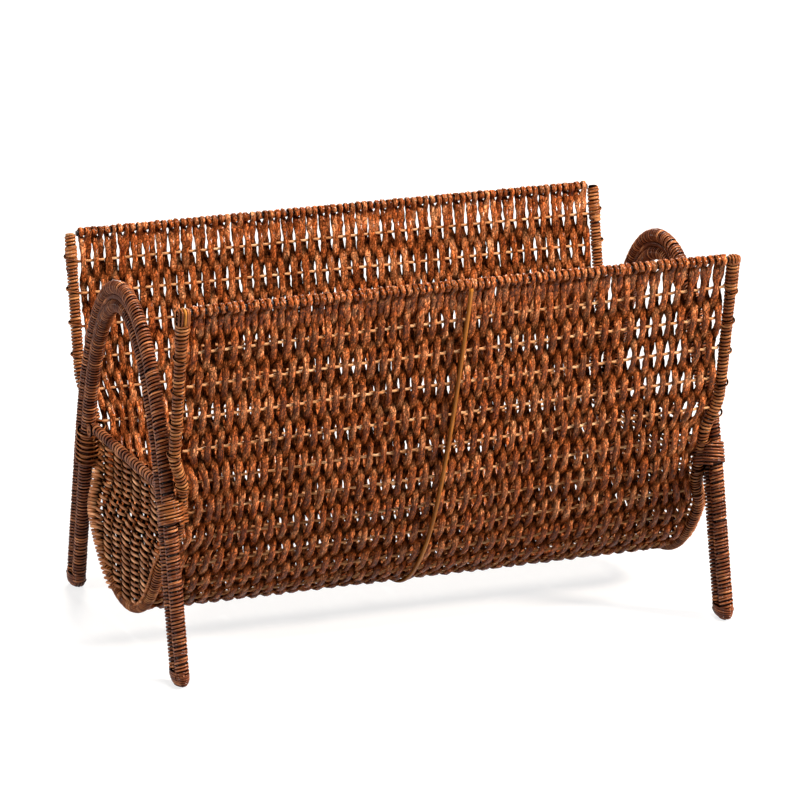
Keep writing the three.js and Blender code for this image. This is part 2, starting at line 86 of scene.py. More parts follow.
def bezier(corners: list[tuple[float, float]], count: int) -> Array:
    """Points of a cubic Bezier curve.

    Args:
        corners: its four control points.
        count: how many points to make.

    Returns:
        An array of count rows.
    """
    t = np.linspace(0, 1, count)[:, None]
    p = [np.array(c, float) for c in corners]
    return (1 - t) ** 3 * p[0] + 3 * (1 - t) ** 2 * t * p[1] + 3 * (1 - t) * t * t * p[2] + t**3 * p[3]


def unit(vectors: Array) -> Array:
    """The same vectors with length one."""
    return vectors / np.maximum(np.linalg.norm(vectors, axis=-1, keepdims=True), 1e-12)


@dataclass(frozen=True)
class Noise:
    """Seeded noise: its greatest amount, and the length between two random values."""

    amount: float
    step: float

    def along(self, rng: np.random.Generator, at: Array) -> Array:
        """Draws the noise at places along a line.

        Args:
            rng: where the random numbers come from.
            at: the places, rising, in the unit of the step.

        Returns:
            One value for each place.
        """
        knots = np.arange(at[0] - self.step, at[-1] + 3 * self.step, self.step)
        values = rng.uniform(-1, 1, len(knots))
        place = (at - knots[0]) / self.step
        low = np.clip(place.astype(int), 0, len(knots) - 2)
        share = smoothstep(place - low, 0, 1)
        return self.amount * (values[low] * (1 - share) + values[low + 1] * share)


class Course:
    """A smooth line in space with a frame at each point: along, across and out."""

    def __init__(self, points: Array) -> None:
        """Keeps the points.

        Args:
            points: rows of x, y and z in millimetres, on a line that never runs along X.
        """
        self.points = np.asarray(points, float)
        steps = np.linalg.norm(np.diff(self.points, axis=0), axis=1)
        self.lengths = np.concatenate([[0], np.cumsum(steps)])

    @property
    def length(self) -> float:
        """Length of the whole line."""
        return float(self.lengths[-1])

    def place(self, at: Array) -> Array:
        """Points at distances along the line."""
        return np.stack([np.interp(at, self.lengths, self.points[:, k]) for k in range(3)], axis=1)

    def frames(self, at: Array) -> tuple[Array, Array, Array]:
        """Frame of the line at distances along it.

        Args:
            at: the distances, in millimetres.

        Returns:
            The directions along the line, across it and out from it, which is square to X.
        """
        reach = 0.4
        after, before = (self.place(np.clip(at + step, 0, self.length)) for step in (reach, -reach))
        along = unit(after - before)
        out = unit(np.cross(along, [1.0, 0.0, 0.0]))
        return along, np.cross(out, along), out

    def part(self, start: float, end: float) -> "Course":
        """The stretch between two distances."""
        at = np.linspace(start, end, max(8, int(abs(end - start) / 1.5)))
        return Course(self.place(at))


class MeshParts:
    """Collects swept tubes and makes one mesh of them.

    Each vertex carries "flow", which is the distance along its strand and round it in metres and a random
    number of the strand, and "lift", which is 1 where a strand stands out and 0 in the recesses. The finishes
    paint shade into the colour where the lift is low, and paint a highlight where it is high.
    """

    def __init__(self) -> None:
        """Starts with nothing."""
        self.vertices: list[Array] = []
        self.faces: list[Array] = []
        self.flow: list[Array] = []
        self.lift: list[Array] = []
        self.caps: list[list[int]] = []
        self.count = 0

    def tube(
        self, points: Array, normals: Array | list[float], half_width: Array | float, half_depth: Array | float,
        sides: int, seed: float, ripple: Array | None = None, height: Array | None = None, bare: Array | None = None,
    ) -> None:
        """Adds a closed tube along points.

        Args:
            points: the centre line in millimetres.
            normals: the outer side of the strand, one direction or one for each point.
            half_width: half its width across, one value or one for each point.
            half_depth: half its depth along the normal, one value or one for each point.
            sides: corners of its section.
            seed: a random number of the strand, from 0 to 1.
            ripple: factors on the radius, a row for each point and a column for each side.
            height: height of the centre line over the middle of the weave, as a share of the weave's half depth,
                for strands that are seen from both faces.
            bare: 1 where nothing lies over such a strand on either face, and 0 elsewhere.
        """
        n = len(points)
        along = unit(np.gradient(points, axis=0))
        across = unit(np.cross(along, normals))
        up = np.cross(across, along)
        angle = TAU * np.arange(sides) / sides
        width = np.broadcast_to(half_width, n)[:, None] * np.cos(angle)
        depth = np.broadcast_to(half_depth, n)[:, None] * np.sin(angle)
        if ripple is not None:
            width, depth = width * ripple, depth * ripple
        ring = points[:, None] + across[:, None] * width[..., None] + up[:, None] * depth[..., None]
        self.vertices.append(ring.reshape(-1, 3) * MM)
        travel = np.concatenate([[0], np.cumsum(np.linalg.norm(np.diff(points, axis=0), axis=1))]) * MM
        round_it = angle * float(np.mean(half_width)) * MM
        flow = np.stack(np.broadcast_arrays(travel[:, None] + 0.6 * round_it[None], round_it[None], seed), axis=-1)
        self.flow.append(flow.reshape(-1, 3))
        # The lift falls from the outer side of the section to its sides and back; the finishes paint shade and
        # highlight by it.
        lift = np.broadcast_to(np.clip(1.05 * np.sin(angle) - 0.05, 0, 1), (n, sides))
        if height is not None:
            lift = np.abs(height[:, None] + 0.35 * np.sin(angle))
            if bare is not None:
                lift = np.maximum(lift, bare[:, None] * np.abs(np.sin(angle)))
        self.lift.append(np.clip(lift, 0, 1).reshape(-1))
        row, side = np.meshgrid(np.arange(n - 1), np.arange(sides), indexing="ij")
        after = (side + 1) % sides
        base = self.count
        low, high = base + row * sides, base + (row + 1) * sides
        self.faces.append(np.stack([low + side, low + after, high + after, high + side], -1).reshape(-1, 4))
        self.caps.append(list(range(base + sides - 1, base - 1, -1)))
        self.caps.append(list(range(base + (n - 1) * sides, base + n * sides)))
        self.count += n * sides

    def make(self, name: str, material: bpy.types.Material, slot: Slot, nodes: list[str]) -> None:
        """Makes the mesh object and ties it to the frame.

        Args:
            name: the object's name.
            material: its finish.
            slot: the record's slot for this piece; it is not used.
            nodes: the CAD nodes that it stands for.
        """
        mesh = bpy.data.meshes.new(name)
        faces = np.concatenate(self.faces).tolist() + self.caps
        mesh.from_pydata(np.concatenate(self.vertices).tolist(), [], faces)
        flow = mesh.attributes.new("flow", "FLOAT_VECTOR", "POINT")
        flow.data.foreach_set("vector", np.concatenate(self.flow).astype(np.float32).ravel())
        lift = mesh.attributes.new("lift", "FLOAT", "POINT")
        lift.data.foreach_set("value", np.concatenate(self.lift).astype(np.float32))
        mesh.polygons.foreach_set("use_smooth", np.ones(len(mesh.polygons), bool))
        mesh.materials.append(material)
        mesh.validate()
        piece = bpy.data.objects.new(name, mesh)
        bpy.context.scene.collection.objects.link(piece)
        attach(piece, "root")
        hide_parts(*nodes)
        log.info("%s: %d faces", piece.name, len(mesh.polygons))


# Finishes


def linear(code: str) -> tuple[float, float, float, float]:
    """A colour written as six sRGB hex digits, turned linear."""
    values = [int(code[i : i + 2], 16) / 255 for i in (0, 2, 4)]
    return (*[v / 12.92 if v <= 0.04045 else ((v + 0.055) / 1.055) ** 2.4 for v in values], 1.0)


def new_tree(owner: bpy.types.Material | bpy.types.World) -> Tree:
    """The emptied node tree of a material or a world.

    Args:
        owner: what the tree belongs to.

    Returns:
        The tree.
    """
    owner.use_nodes = True
    owner.node_tree.nodes.clear()
    return owner.node_tree


def add_node(
    tree: Tree, kind: str, settings: dict | None = None, inputs: dict | None = None,
    stops: tuple[tuple[float, str], ...] = (),
) -> Node:
    """Adds a shader node with its settings and links.

    Args:
        tree: the node tree of a material or a world.
        kind: the type of the node, without the word that all of them start with.
        settings: attributes of the node.
        inputs: input sockets by name or number, each with a value or with what feeds it, which is a socket or a
            node by its first output.
        stops: for a colour ramp, places from 0 to 1, each with a colour as hex digits.

    Returns:
        The new node.
    """
    node = tree.nodes.new(f"ShaderNode{kind}")
    for key, value in (settings or {}).items():
        setattr(node, key, value)
    for key, value in (inputs or {}).items():
        source = value.outputs[0] if isinstance(value, Node) else value
        if isinstance(source, Socket):
            tree.links.new(source, node.inputs[key])
        else:
            node.inputs[key].default_value = source
    if stops:
        elements = node.color_ramp.elements
        while len(elements) < len(stops):
            elements.new(0.5)
        for element, (place, code) in zip(elements, stops):
            element.position, element.color = place, linear(code)
    return node


@dataclass(frozen=True)
class FibreFinish:
    """A plant fibre, stained and lacquered, whose grain runs along each strand.

    Lengths are in metres: fibre_length and fibre_width are the sizes of one streak, patch is the length of a
    stretch of lighter or darker stain, and crease that of one flat patch of a crumpled leaf. The colour carries
    painted shade: up to the lift groove it is as dark as in the recesses, where the factor shade is left of its
    colour. From the lift full_at on it carries a painted highlight, lighter by the crest factor. The lacquer gives
    all the gloss, as the fibre under it reflects no more of its own, and its weight falls with the lift, to none in
    the recesses. The real vessels are about 0.2 mm wide; the streaks are drawn coarser, as finer ones would be lost
    at the distance of the photo.
    """

    name: str
    dark: str
    middle: str
    light: str
    roughness: float = 0.3
    coat: float = 0.45
    fibre_length: float = 0.012
    fibre_width: float = 0.0007
    patch: float = 0.02
    relief: float = 0.0002
    shade: float = 0.02
    crease: float = 0.0
    variety: float = 0.15
    full_at: float = 1.0
    groove: float = 0.0
    crest: float = 1.0
    ior: float = 1.5
    coat_roughness: float = 0.16
    coat_lifts: tuple[float, float] = (0.35, 0.95)
    stain_stops: tuple[float, float, float] = (0.32, 0.5, 0.68)
    streak_share: float = 0.45
    patch_tones: tuple[float, float] = (0.55, 1.7)
    fold_width: float = 0.12
    fold_shade: float = 0.5
    dome: float = 1.1
    grain_height: float = 0.25

    def build(self) -> bpy.types.Material:
        """Makes the material.

        Returns:
            The material with its nodes.
        """
        material = bpy.data.materials.new(self.name)
        tree = new_tree(material)
        flow = add_node(tree, "Attribute", {"attribute_name": "flow"}).outputs["Vector"]
        lift = add_node(tree, "Attribute", {"attribute_name": "lift"}).outputs["Fac"]
        streaks, patches = (
            add_node(tree, "TexNoise", {}, {
                "Vector": add_node(tree, "Mapping", {}, {"Vector": flow, "Scale": scale}),
                "Scale": 1.0, "Detail": detail, "Roughness": 0.6,
            })
            for scale, detail in (
                ((1 / self.fibre_length, 1 / self.fibre_width, 37.0), 3.0),
                ((1 / self.patch, 0.4 / self.patch, 91.0), 2.0),
            )
        )
        blend = add_node(tree, "Mix", {"data_type": "FLOAT"}, {0: self.streak_share, 2: patches, 3: streaks})
        stops = tuple(zip(self.stain_stops, (self.dark, self.middle, self.light)))
        colour = add_node(tree, "ValToRGB", {}, {"Fac": blend}, stops)
        # Painted shade and highlight: below the lift groove the colour keeps only the shade factor, as in the
        # recesses, and from full_at on it is lightened by the crest factor.
        limits = {0: lift, 1: self.groove, 2: self.full_at, 3: self.shade, 4: self.crest}
        painted_light_level = add_node(tree, "MapRange", {}, limits)
        strand = add_node(tree, "SeparateXYZ", {}, {0: flow}).outputs["Z"]
        own = add_node(tree, "MapRange", {}, {0: strand, 1: 0.0, 2: 1.0, 3: 1 - self.variety, 4: 1 + self.variety})
        level = add_node(tree, "Math", {"operation": "MULTIPLY"}, {0: painted_light_level, 1: own})
        colour = add_node(tree, "VectorMath", {"operation": "SCALE"}, {0: colour, "Scale": level})
        height = streaks
        if self.crease:
            colour, height = self._crumple(tree, flow, colour, streaks)
        bump = add_node(tree, "Bump", {}, {"Strength": 1.0, "Distance": self.relief, "Height": height})
        low, high = self.coat_lifts
        rubbed = add_node(tree, "MapRange", {}, {0: lift, 1: low, 2: high, 3: 0.0, 4: 1.0})
        coat = add_node(tree, "Math", {"operation": "MULTIPLY"}, {0: rubbed, 1: self.coat})
        shader = add_node(tree, "BsdfPrincipled", {}, {
            "Base Color": colour, "Roughness": self.roughness, "IOR": self.ior, "Specular IOR Level": 0.0,
            "Coat Weight": coat, "Coat Roughness": self.coat_roughness, "Coat IOR": self.ior, "Normal": bump,
        })
        add_node(tree, "OutputMaterial", {}, {"Surface": shader})
        return material

    def _crumple(self, tree: Tree, flow: Socket, colour: Node, streaks: Node) -> tuple[Node, Node]:
        """Breaks the surface into the flat patches and sharp folds of a rolled leaf, with a painted highlight on some
        patches and painted shade in the folds.

        Args:
            tree: the material's node tree.
            flow: place on the strand.
            colour: the colour so far.
            streaks: the fine grain.

        Returns:
            The colour with patches that are partly its own tone and partly painted highlight, and with painted shade
            in the folds, and the height of the folds.
        """
        scale = (1 / self.crease, 1 / (0.6 * self.crease), 211.0)
        where = add_node(tree, "Mapping", {}, {"Vector": flow, "Scale": scale})
        cells, edges = (
            add_node(tree, "TexVoronoi", {"feature": feature}, {"Vector": where, "Scale": 1.0}).outputs
            for feature in ("F1", "DISTANCE_TO_EDGE")
        )
        fold = add_node(tree, "MapRange", {}, {0: edges["Distance"], 1: 0.0, 2: self.fold_width, 3: 0.0, 4: 1.0})
        # The patch tones are partly the leaf's own tone and partly painted highlight, as light flecks on its facets.
        tone = add_node(tree, "SeparateColor", {}, {0: cells["Color"]})
        dim, bright = self.patch_tones
        level = add_node(tree, "MapRange", {}, {0: tone, 1: 0.0, 2: 1.0, 3: dim, 4: bright})
        # Painted shade in the folds between the patches.
        dark = add_node(tree, "MapRange", {}, {0: fold, 1: 0.0, 2: 1.0, 3: self.fold_shade, 4: 1.0})
        both = add_node(tree, "Math", {"operation": "MULTIPLY"}, {0: level, 1: dark})
        toned = add_node(tree, "VectorMath", {"operation": "SCALE"}, {0: colour, "Scale": both})
        domes = {0: cells["Distance"], 1: self.dome, 2: fold}
        raised = add_node(tree, "Math", {"operation": "MULTIPLY_ADD"}, domes)
        grain = {0: streaks, 1: self.grain_height, 2: raised}
        return toned, add_node(tree, "Math", {"operation": "MULTIPLY_ADD"}, grain)


@dataclass(frozen=True)
class CoreFinish:
    """The cane rods inside the windings, stained with them and drawn dark as painted shade for the gaps between the
    turns.
    """

    name: str
    dark: str
    light: str
    roughness: float

    def build(self) -> bpy.types.Material:
        """Makes the material.

        Returns:
            The material with its nodes.
        """
        material = bpy.data.materials.new(self.name)
        tree = new_tree(material)
        where = add_node(tree, "TexCoord").outputs["Object"]
        noise = add_node(tree, "TexNoise", {}, {"Vector": where, "Scale": 700.0, "Detail": 3.0})
        colour = add_node(tree, "ValToRGB", {}, {"Fac": noise}, ((0.3, self.dark), (0.7, self.light)))
        bump = add_node(tree, "Bump", {}, {"Strength": 0.4, "Distance": 0.0002, "Height": noise})
        shader = add_node(tree, "BsdfPrincipled", {}, {
            "Base Color": colour, "Roughness": self.roughness, "IOR": 1.5, "Specular IOR Level": 0.3, "Normal": bump,
        })
        add_node(tree, "OutputMaterial", {}, {"Surface": shader})
        return material


@dataclass(frozen=True)
class Finishes:
    """The finishes of the basket."""

    # Round reed, wound and stained: painted shade makes the grooves between its turns nearly black, and a painted
    # highlight lightens its crests into shining rings.
    dark_reed: FibreFinish = FibreFinish(
        "round reed, wound and stained dark brown", "26100a", "582c18", "b47448", groove=0.46, crest=2.4,
    )
    # The same reed on the posts and lashings, stained redder: copper rings that catch the key light, with painted
    # shade between the turns and a painted highlight on their crests.
    copper_reed: FibreFinish = FibreFinish(
        "round reed, wound and stained copper brown", "34160c", "7a4220", "c08450",
        roughness=0.28, shade=0.03, groove=0.4, crest=2.0,
    )
    # Woven reed with a painted highlight on its crests, light beads over the stakes, and painted shade in the black
    # gaps.
    panel_reed: FibreFinish = FibreFinish(
        "round reed, woven and stained brown", "4a2412", "8e5834", "d8a478",
        coat=0.4, full_at=0.95, groove=0.3, crest=2.05,
    )
    # A flat leaf twisted to a cord: small facets of light and dark chestnut, partly its own tone and partly painted
    # highlight, with painted shade in the sharp folds between them and in the recesses of the weave.
    strand: FibreFinish = FibreFinish(
        "flat leaf strand, rolled, woven and stained chestnut", "662812", "b66030", "f0a672",
        roughness=0.25, coat=0.32, fibre_length=0.014, fibre_width=0.0008, patch=0.012, relief=0.0014,
        shade=0.03, crease=0.0031, variety=0.25, full_at=0.5,
    )
    # Thin cane that took little stain and hardly any lacquer: pale, matt lines between the strands, with a little
    # painted shade on the side that is turned away.
    weft: FibreFinish = FibreFinish(
        "thin round cane, woven and stained honey", "a86838", "d89a68", "f4c898",
        roughness=0.42, coat=0.1, fibre_length=0.01, fibre_width=0.0006, relief=0.0001, shade=0.5, full_at=0.9,
    )
    # Cane with its smooth skin left on: a long, even golden line with a narrow highlight, and painted shade on the
    # side that is turned away.
    golden_cane: FibreFinish = FibreFinish(
        "smooth cane, bent and stained golden brown", "84480e", "b87024", "dc9848",
        roughness=0.28, fibre_length=0.03, fibre_width=0.0006, patch=0.04, relief=0.00008, shade=0.6, full_at=0.9,
    )
    # Peeled rod under the turns, stained and drawn dull and dark: partly painted shade for the gaps between the turns,
    # so that nothing bright shows through the windings.
    core: CoreFinish = CoreFinish("peeled cane rod, stained before winding", "1a0b06", "3a1d10", 0.55)


# Lines of the frame


@dataclass(frozen=True)
class FrameShape:
    """The lines of an end frame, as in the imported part. Lengths are in millimetres."""

    arch_plane: float = 200.0
    rod_spacing: float = 12.4
    foot_half_span: float = 115.2
    shoulder_height: float = 110.0
    leg_run: float = 24.4
    shoulder_pull: float = 52.0
    crown_height: float = 240.5
    crown_pull: float = 52.0
    leg_end: float = 7.0
    hoop_radius: float = 4.3
    post_top: float = 262.0
    rear_drop: float = 6.0
    post_top_half_span: float = 123.2
    post_foot_height: float = 190.0
    post_foot_half_span: float = 109.6
    post_pull: float = 75.0
    belly_pull: float = 70.0
    belly_height: float = 23.0
    belly_plane: float = 199.0
    top_plane: float = 198.2
    crossing_plane: float = 190.6
    joint_height: float = 113.6
    bend_near: float = 16.0
    bend_far: float = 46.0
    rail_radius: float = 2.0
    rail_height: float = 261.7

    def leg(self, height: float) -> tuple[float, float]:
        """Place of the straight leg's middle line at a height."""
        return self.foot_half_span - self.leg_run * height / self.shoulder_height, height

    @property
    def leg_up(self) -> Array:
        """Direction of the leg, upwards."""
        return unit(np.array([-self.leg_run, self.shoulder_height]))

    @property
    def leg_out(self) -> Array:
        """Direction from the leg outwards, in the arch's plane."""
        return self.leg_up[::-1] * [1, -1]

    @property
    def post_slope(self) -> float:
        """How far a post leans outwards for each millimetre of height."""
        return (self.post_top_half_span - self.post_foot_half_span) / (self.post_top - self.post_foot_height)

    def arch(self, offset: float) -> Array:
        """The arch in its plane, from the rear foot over the crown to the front foot.

        Args:
            offset: distance outwards from the line midway between the two rods.

        Returns:
            Rows of y and z.
        """
        shoulder = np.array(self.leg(self.shoulder_height))
        foot = np.array(self.leg(self.leg_end))
        straight = foot + (shoulder - foot) * np.linspace(0, 1, 60)[:, None]
        crown = bezier([tuple(shoulder), tuple(shoulder + self.leg_up * self.shoulder_pull),
                        (self.crown_pull, self.crown_height), (0, self.crown_height)], 90)
        half = np.vstack([straight[:-1], crown])
        line = np.vstack([half, (half * [-1, 1])[::-1][1:]])
        along = unit(np.gradient(line, axis=0))
        return line + offset * np.stack([along[:, 1], -along[:, 0]], 1)

    def hoop(self) -> Array:
        """The hoop in its plane.

        Returns:
            Its middle line from the rear post's top round the belly to the front post's top, as y and z.
        """
        top = np.array([self.post_top_half_span, self.post_top])
        bend = np.array([self.post_foot_half_span, self.post_foot_height])
        down = unit(bend - top)
        belly = bezier([tuple(bend), tuple(bend + down * self.post_pull),
                        (self.belly_pull, self.belly_height), (0, self.belly_height)], 120)
        straight = top + (bend - top) * np.linspace(0, 1, 40)[:, None]
        rear = straight[straight[:, 1] <= self.post_top - self.rear_drop]
        half = np.vstack([straight[:-1], belly])
        return np.vstack([rear[:-1], belly, (half * [-1, 1])[::-1][1:]])

    def straight_plane(self, height: Array) -> Array:
        """Distance of the hoop from the middle along X, without its bend at the crossing."""
        return self.belly_plane + (self.top_plane - self.belly_plane) * height / self.post_top

    def hoop_plane(self, height: Array) -> Array:
        """Distance of the hoop from the middle along X."""
        bend = 1 - smoothstep(np.abs(height - self.joint_height), self.bend_near, self.bend_far)
        return self.straight_plane(height) - bend * (self.straight_plane(self.joint_height) - self.crossing_plane)

    def arch_course(self, side: Side, offset: float) -> Course:
        """A rod of the arch in space."""
        line = self.arch(offset)
        return Course(np.column_stack([np.full(len(line), side.value * self.arch_plane), line]))

    def hoop_course(self, side: Side) -> Course:
        """The hoop in space."""
        line = self.hoop()
        return Course(np.column_stack([side.value * self.hoop_plane(line[:, 1]), line]))

    def rail(self, front: int) -> float:
        """Height of a rail's middle."""
        return self.rail_height - (self.rear_drop if front > 0 else 0)

    def post_span(self, height: float) -> float:
        """Distance of a post from the middle along Y at a height above its bend."""
        share = (height - self.post_foot_height) / (self.post_top - self.post_foot_height)
        return self.post_foot_half_span + share * (self.post_top_half_span - self.post_foot_half_span)


# Sub-assemblies


@dataclass(frozen=True)
class Reed:
    """A reed as it is wound: half its width and depth, and the way from turn to turn, in millimetres."""

    half_width: float
    half_depth: float
    pitch: float


@dataclass
class Winding:
    """A reed wound turn by turn round a rod. Lengths are in millimetres."""

    course: Course
    outer_radius: float
    reed: Reed
    seed: int
    starts: int = 1
    steps: int = 16
    sides: int = 7
    slide: Noise = Noise(0.12, 1.0)
    rise: Noise = Noise(0.12, 0.8)
    swell: Noise = Noise(0.08, 1.3)

    def add_to(self, parts: MeshParts) -> None:
        """Adds the turns, with a lighter and a darker reed side by side where there are two starts.

        Args:
            parts: the mesh to add to.
        """
        for start in range(self.starts):
            tone = 0.5 if self.starts == 1 else start / (self.starts - 1)
            self.add_reed(parts, start, tone)

    def add_reed(self, parts: MeshParts, start: int, tone: float) -> None:
        """Adds one reed of the winding.

        Args:
            parts: the mesh to add to.
            start: number of the reed.
            tone: how light it is, from 0 to 1.
        """
        rng = np.random.default_rng(self.seed + 1000 * start)
        turns = self.course.length / (self.reed.pitch * self.starts)
        turn = np.linspace(0, turns, int(turns * self.steps))
        at = np.clip((turn + self.slide.along(rng, turn)) / turns, 0, 1) * self.course.length
        _, across, out = self.course.frames(at)
        angle = TAU * (turn + start / self.starts)
        facing = across * np.cos(angle)[:, None] + out * np.sin(angle)[:, None]
        reach = self.outer_radius - self.reed.half_depth + self.rise.along(rng, turn)
        points = self.course.place(at) + facing * reach[:, None]
        width = self.reed.half_width * (1 + self.swell.along(rng, turn))
        parts.tube(points, facing, width, self.reed.half_depth, self.sides, tone)


@dataclass
class EndFrame:
    """One end: the arch with its two rods, the hoop, the crossbar and the windings that tie them.

    Lengths are in millimetres. A pair that is named a strand holds its half width and half depth, and each pair of
    the post's end holds its reach and its radius. The left end shows copper lashings, a bare rod end and a golden
    strip, which the right end doesn't.
    """

    side: Side
    shape: FrameShape
    looks: Looks
    arch_radius: float = 4.9
    arch_swell: float = 0.1
    arch_reed: Reed = Reed(1.15, 1.1, 2.45)
    runner_half_width: float = 1.8
    runner_half_depth: float = 0.9
    runner_reach: float = 2.1
    runner_step: float = 0.45
    runner_noise: Noise = Noise(1.5, 9.0)
    hoop_radius: float = 4.15
    hoop_reeds: tuple[tuple[str, Reed], ...] = (
        ("rear_post", Reed(1.15, 1.05, 2.4)),
        ("belly_hoop", Reed(1.1, 1.05, 2.5)),
        ("front_post", Reed(1.28, 1.05, 2.75)),
    )
    crossbar_height: float = 128.0
    crossbar_half_length: float = 73.0
    crossbar_radius: float = 3.7
    crossbar_inset: float = 2.0
    crossbar_reed: Reed = Reed(2.3, 1.3, 5.4)
    coil_turns: float = 2.4
    coil_start: float = 1.2
    coil_growth: float = 3.6
    coil_strand: tuple[float, float] = (0.85, 0.9)
    lashing_turns: int = 7
    front_lashing: float = 15.0
    rear_lashing: float = 26.0
    lashing_slant: float = 1.9
    lashing_gap: float = 0.35
    lashing_strand: tuple[float, float] = (1.02, 1.0)
    lashing_slide: Noise = Noise(0.5, 0.7)
    lashing_rise: Noise = Noise(0.2, 0.5)
    tie_reed: Reed = Reed(1.3, 0.95, 2.7)
    tie_reach: float = 24.0
    front_tie_radius: float = 4.9
    rear_tie_radius: float = 4.5
    post_end: tuple[tuple[float, float], ...] = ((-3.0, 3.2), (0.9, 3.2), (1.5, 2.7), (1.7, 1.6))
    cap_strands: tuple[float, ...] = (-3.5, -1.8, 2.0, 3.6)
    cap_strand: tuple[float, float] = (1.0, 0.8)
    cap_inset: float = 0.7
    foot_turns: int = 6
    foot_height: float = 10.5
    foot_strand: tuple[float, float] = (0.95, 1.1)
    foot_noise: Noise = Noise(0.2, 0.6)
    fold_count: int = 5
    fold_spacing: float = 2.05
    fold_drop: float = 7.4
    fold_noise: Noise = Noise(0.3, 0.5)
    ground_gap: float = 0.9

    def build(self) -> None:
        """Builds and dresses all the pieces of this end."""
        self.build_arch()
        self.build_hoop()
        self.build_crossbar()
        self.build_lashings()
        self.build_post_end()
        self.build_feet()

    @property
    def at_left(self) -> bool:
        """Whether this is the left end, which the photo shows in full."""
        return self.side is Side.LEFT

    def finish(self, parts: MeshParts, piece: str, look: str, slot: Slot, *nodes: str) -> None:
        """Makes a piece of this end that stands for CAD nodes of this end, all named without the end's own word."""
        prefix = f"{self.side.label}_"
        parts.make(prefix + piece, self.looks[look], slot, [prefix + node for node in nodes])

    def in_space(self, x: Array | float, flat: Array, front: int) -> Array:
        """Places or directions from how far they are out along X, and from rows of y and z on the rear side."""
        out = np.broadcast_to(self.side.value * x, len(flat))
        return np.column_stack([out, front * flat[:, 0], flat[:, 1]])

    def build_arch(self) -> None:
        """Winds the two rods of the arch and lays the runner between them."""
        for place, sign, starts in (("outer", 1, 2), ("inner", -1, 1)):
            course = self.shape.arch_course(self.side, sign * self.shape.rod_spacing / 2)
            parts = MeshParts()
            seed = 10 + 3 * self.side.value + sign
            Winding(course, self.arch_radius + self.arch_swell, self.arch_reed, seed, starts).add_to(parts)
            self.finish(parts, f"arch_{place}_winding", "dark_reed", Slot.DARK_REED, f"arch_{place}_wrap")
        for face in (-1, 1):
            self.build_runner(face)

    def build_runner(self, face: int) -> None:
        """Lays one strand in the groove on one face of the arch, pressed into beads by the turns beside it.

        Args:
            face: side along X that the face looks to.
        """
        course = self.shape.arch_course(self.side, 0)
        at = np.arange(0, course.length, self.runner_step)
        rng = np.random.default_rng(40 + face)
        beat = np.sin(TAU * at / self.arch_reed.pitch + self.runner_noise.along(rng, at))
        points = course.place(at)
        points[:, 0] += face * (self.runner_reach + 0.25 * beat)
        width, depth = self.runner_half_width * (1 + 0.1 * beat), self.runner_half_depth * (1 + 0.15 * beat)
        parts = MeshParts()
        # The low lift paints shade over most of the runner, so the groove reads dark, and its beads rise to a painted
        # highlight where the lift is high.
        parts.tube(points, [face, 0, 0], width, depth, 8, rng.random(), None, 0.3 + 0.35 * beat)
        place = "out" if face * self.side.value > 0 else "in"
        nodes = ["arch_runner"] if face > 0 else []
        self.finish(parts, f"arch_runner_{place}", "dark_reed", Slot.GOLDEN_CANE, *nodes)

    def build_hoop(self) -> None:
        """Winds the hoop in its three stretches, as the CAD has them."""
        course = self.shape.hoop_course(self.side)
        below = np.nonzero(course.points[:, 2] < self.shape.joint_height)[0]
        cuts = [0.0, course.lengths[below[0]], course.lengths[below[-1]], course.length]
        for index, (place, reed) in enumerate(self.hoop_reeds):
            parts = MeshParts()
            stretch = course.part(cuts[index], cuts[index + 1])
            Winding(stretch, self.hoop_radius, reed, 60 + index + 5 * self.side.value).add_to(parts)
            self.finish(parts, f"{place}_winding", "copper_reed", Slot.COPPER_REED, f"{place}_wrap")

    def build_crossbar(self) -> None:
        """Winds the crossbar and coils a knot at each of its ends."""
        plane = self.side.value * (self.shape.arch_plane - self.crossbar_inset)
        half, height = self.crossbar_half_length, self.crossbar_height
        points = np.column_stack([np.full(80, plane), np.linspace(half, -half, 80), np.full(80, height)])
        parts = MeshParts()
        Winding(Course(points), self.crossbar_radius, self.crossbar_reed, 70).add_to(parts)
        for end in (-1, 1):
            self.add_coil(parts, np.array([plane + self.side.value * 3.6, end * (half - 1), height - 1.5]), end)
        self.finish(parts, "crossbar_winding", "dark_reed", Slot.DARK_REED, "crossbar_wrap")

    def add_coil(self, parts: MeshParts, centre: Array, end: int) -> None:
        """Adds a flat spiral of reed on the outer face of the frame.

        Args:
            parts: the mesh to add to.
            centre: middle of the spiral.
            end: -1 at the front and 1 at the rear.
        """
        angle = np.linspace(0, self.coil_turns * TAU, 90)
        radius = self.coil_start + self.coil_growth * angle / angle[-1]
        spiral = np.column_stack([np.zeros(90), end * radius * np.cos(angle), radius * np.sin(angle)])
        parts.tube(centre + spiral, [self.side.value, 0, 0], *self.coil_strand, 7, 0.4)

    def build_lashings(self) -> None:
        """Winds the reed that ties the hoop to both rods of the leg, and the ties under the rails."""
        for place, front in FACES:
            parts = MeshParts()
            self.add_lashing(parts, front)
            look = "copper_reed" if self.at_left else "dark_reed"
            self.finish(parts, f"{place}_lashing_turns", look, Slot.COPPER_REED, f"{place}_lashing")
            parts = MeshParts()
            self.add_tie(parts, front)
            self.finish(parts, f"{place}_corner_turns", "copper_reed", Slot.COPPER_REED, f"{place}_corner_tie")

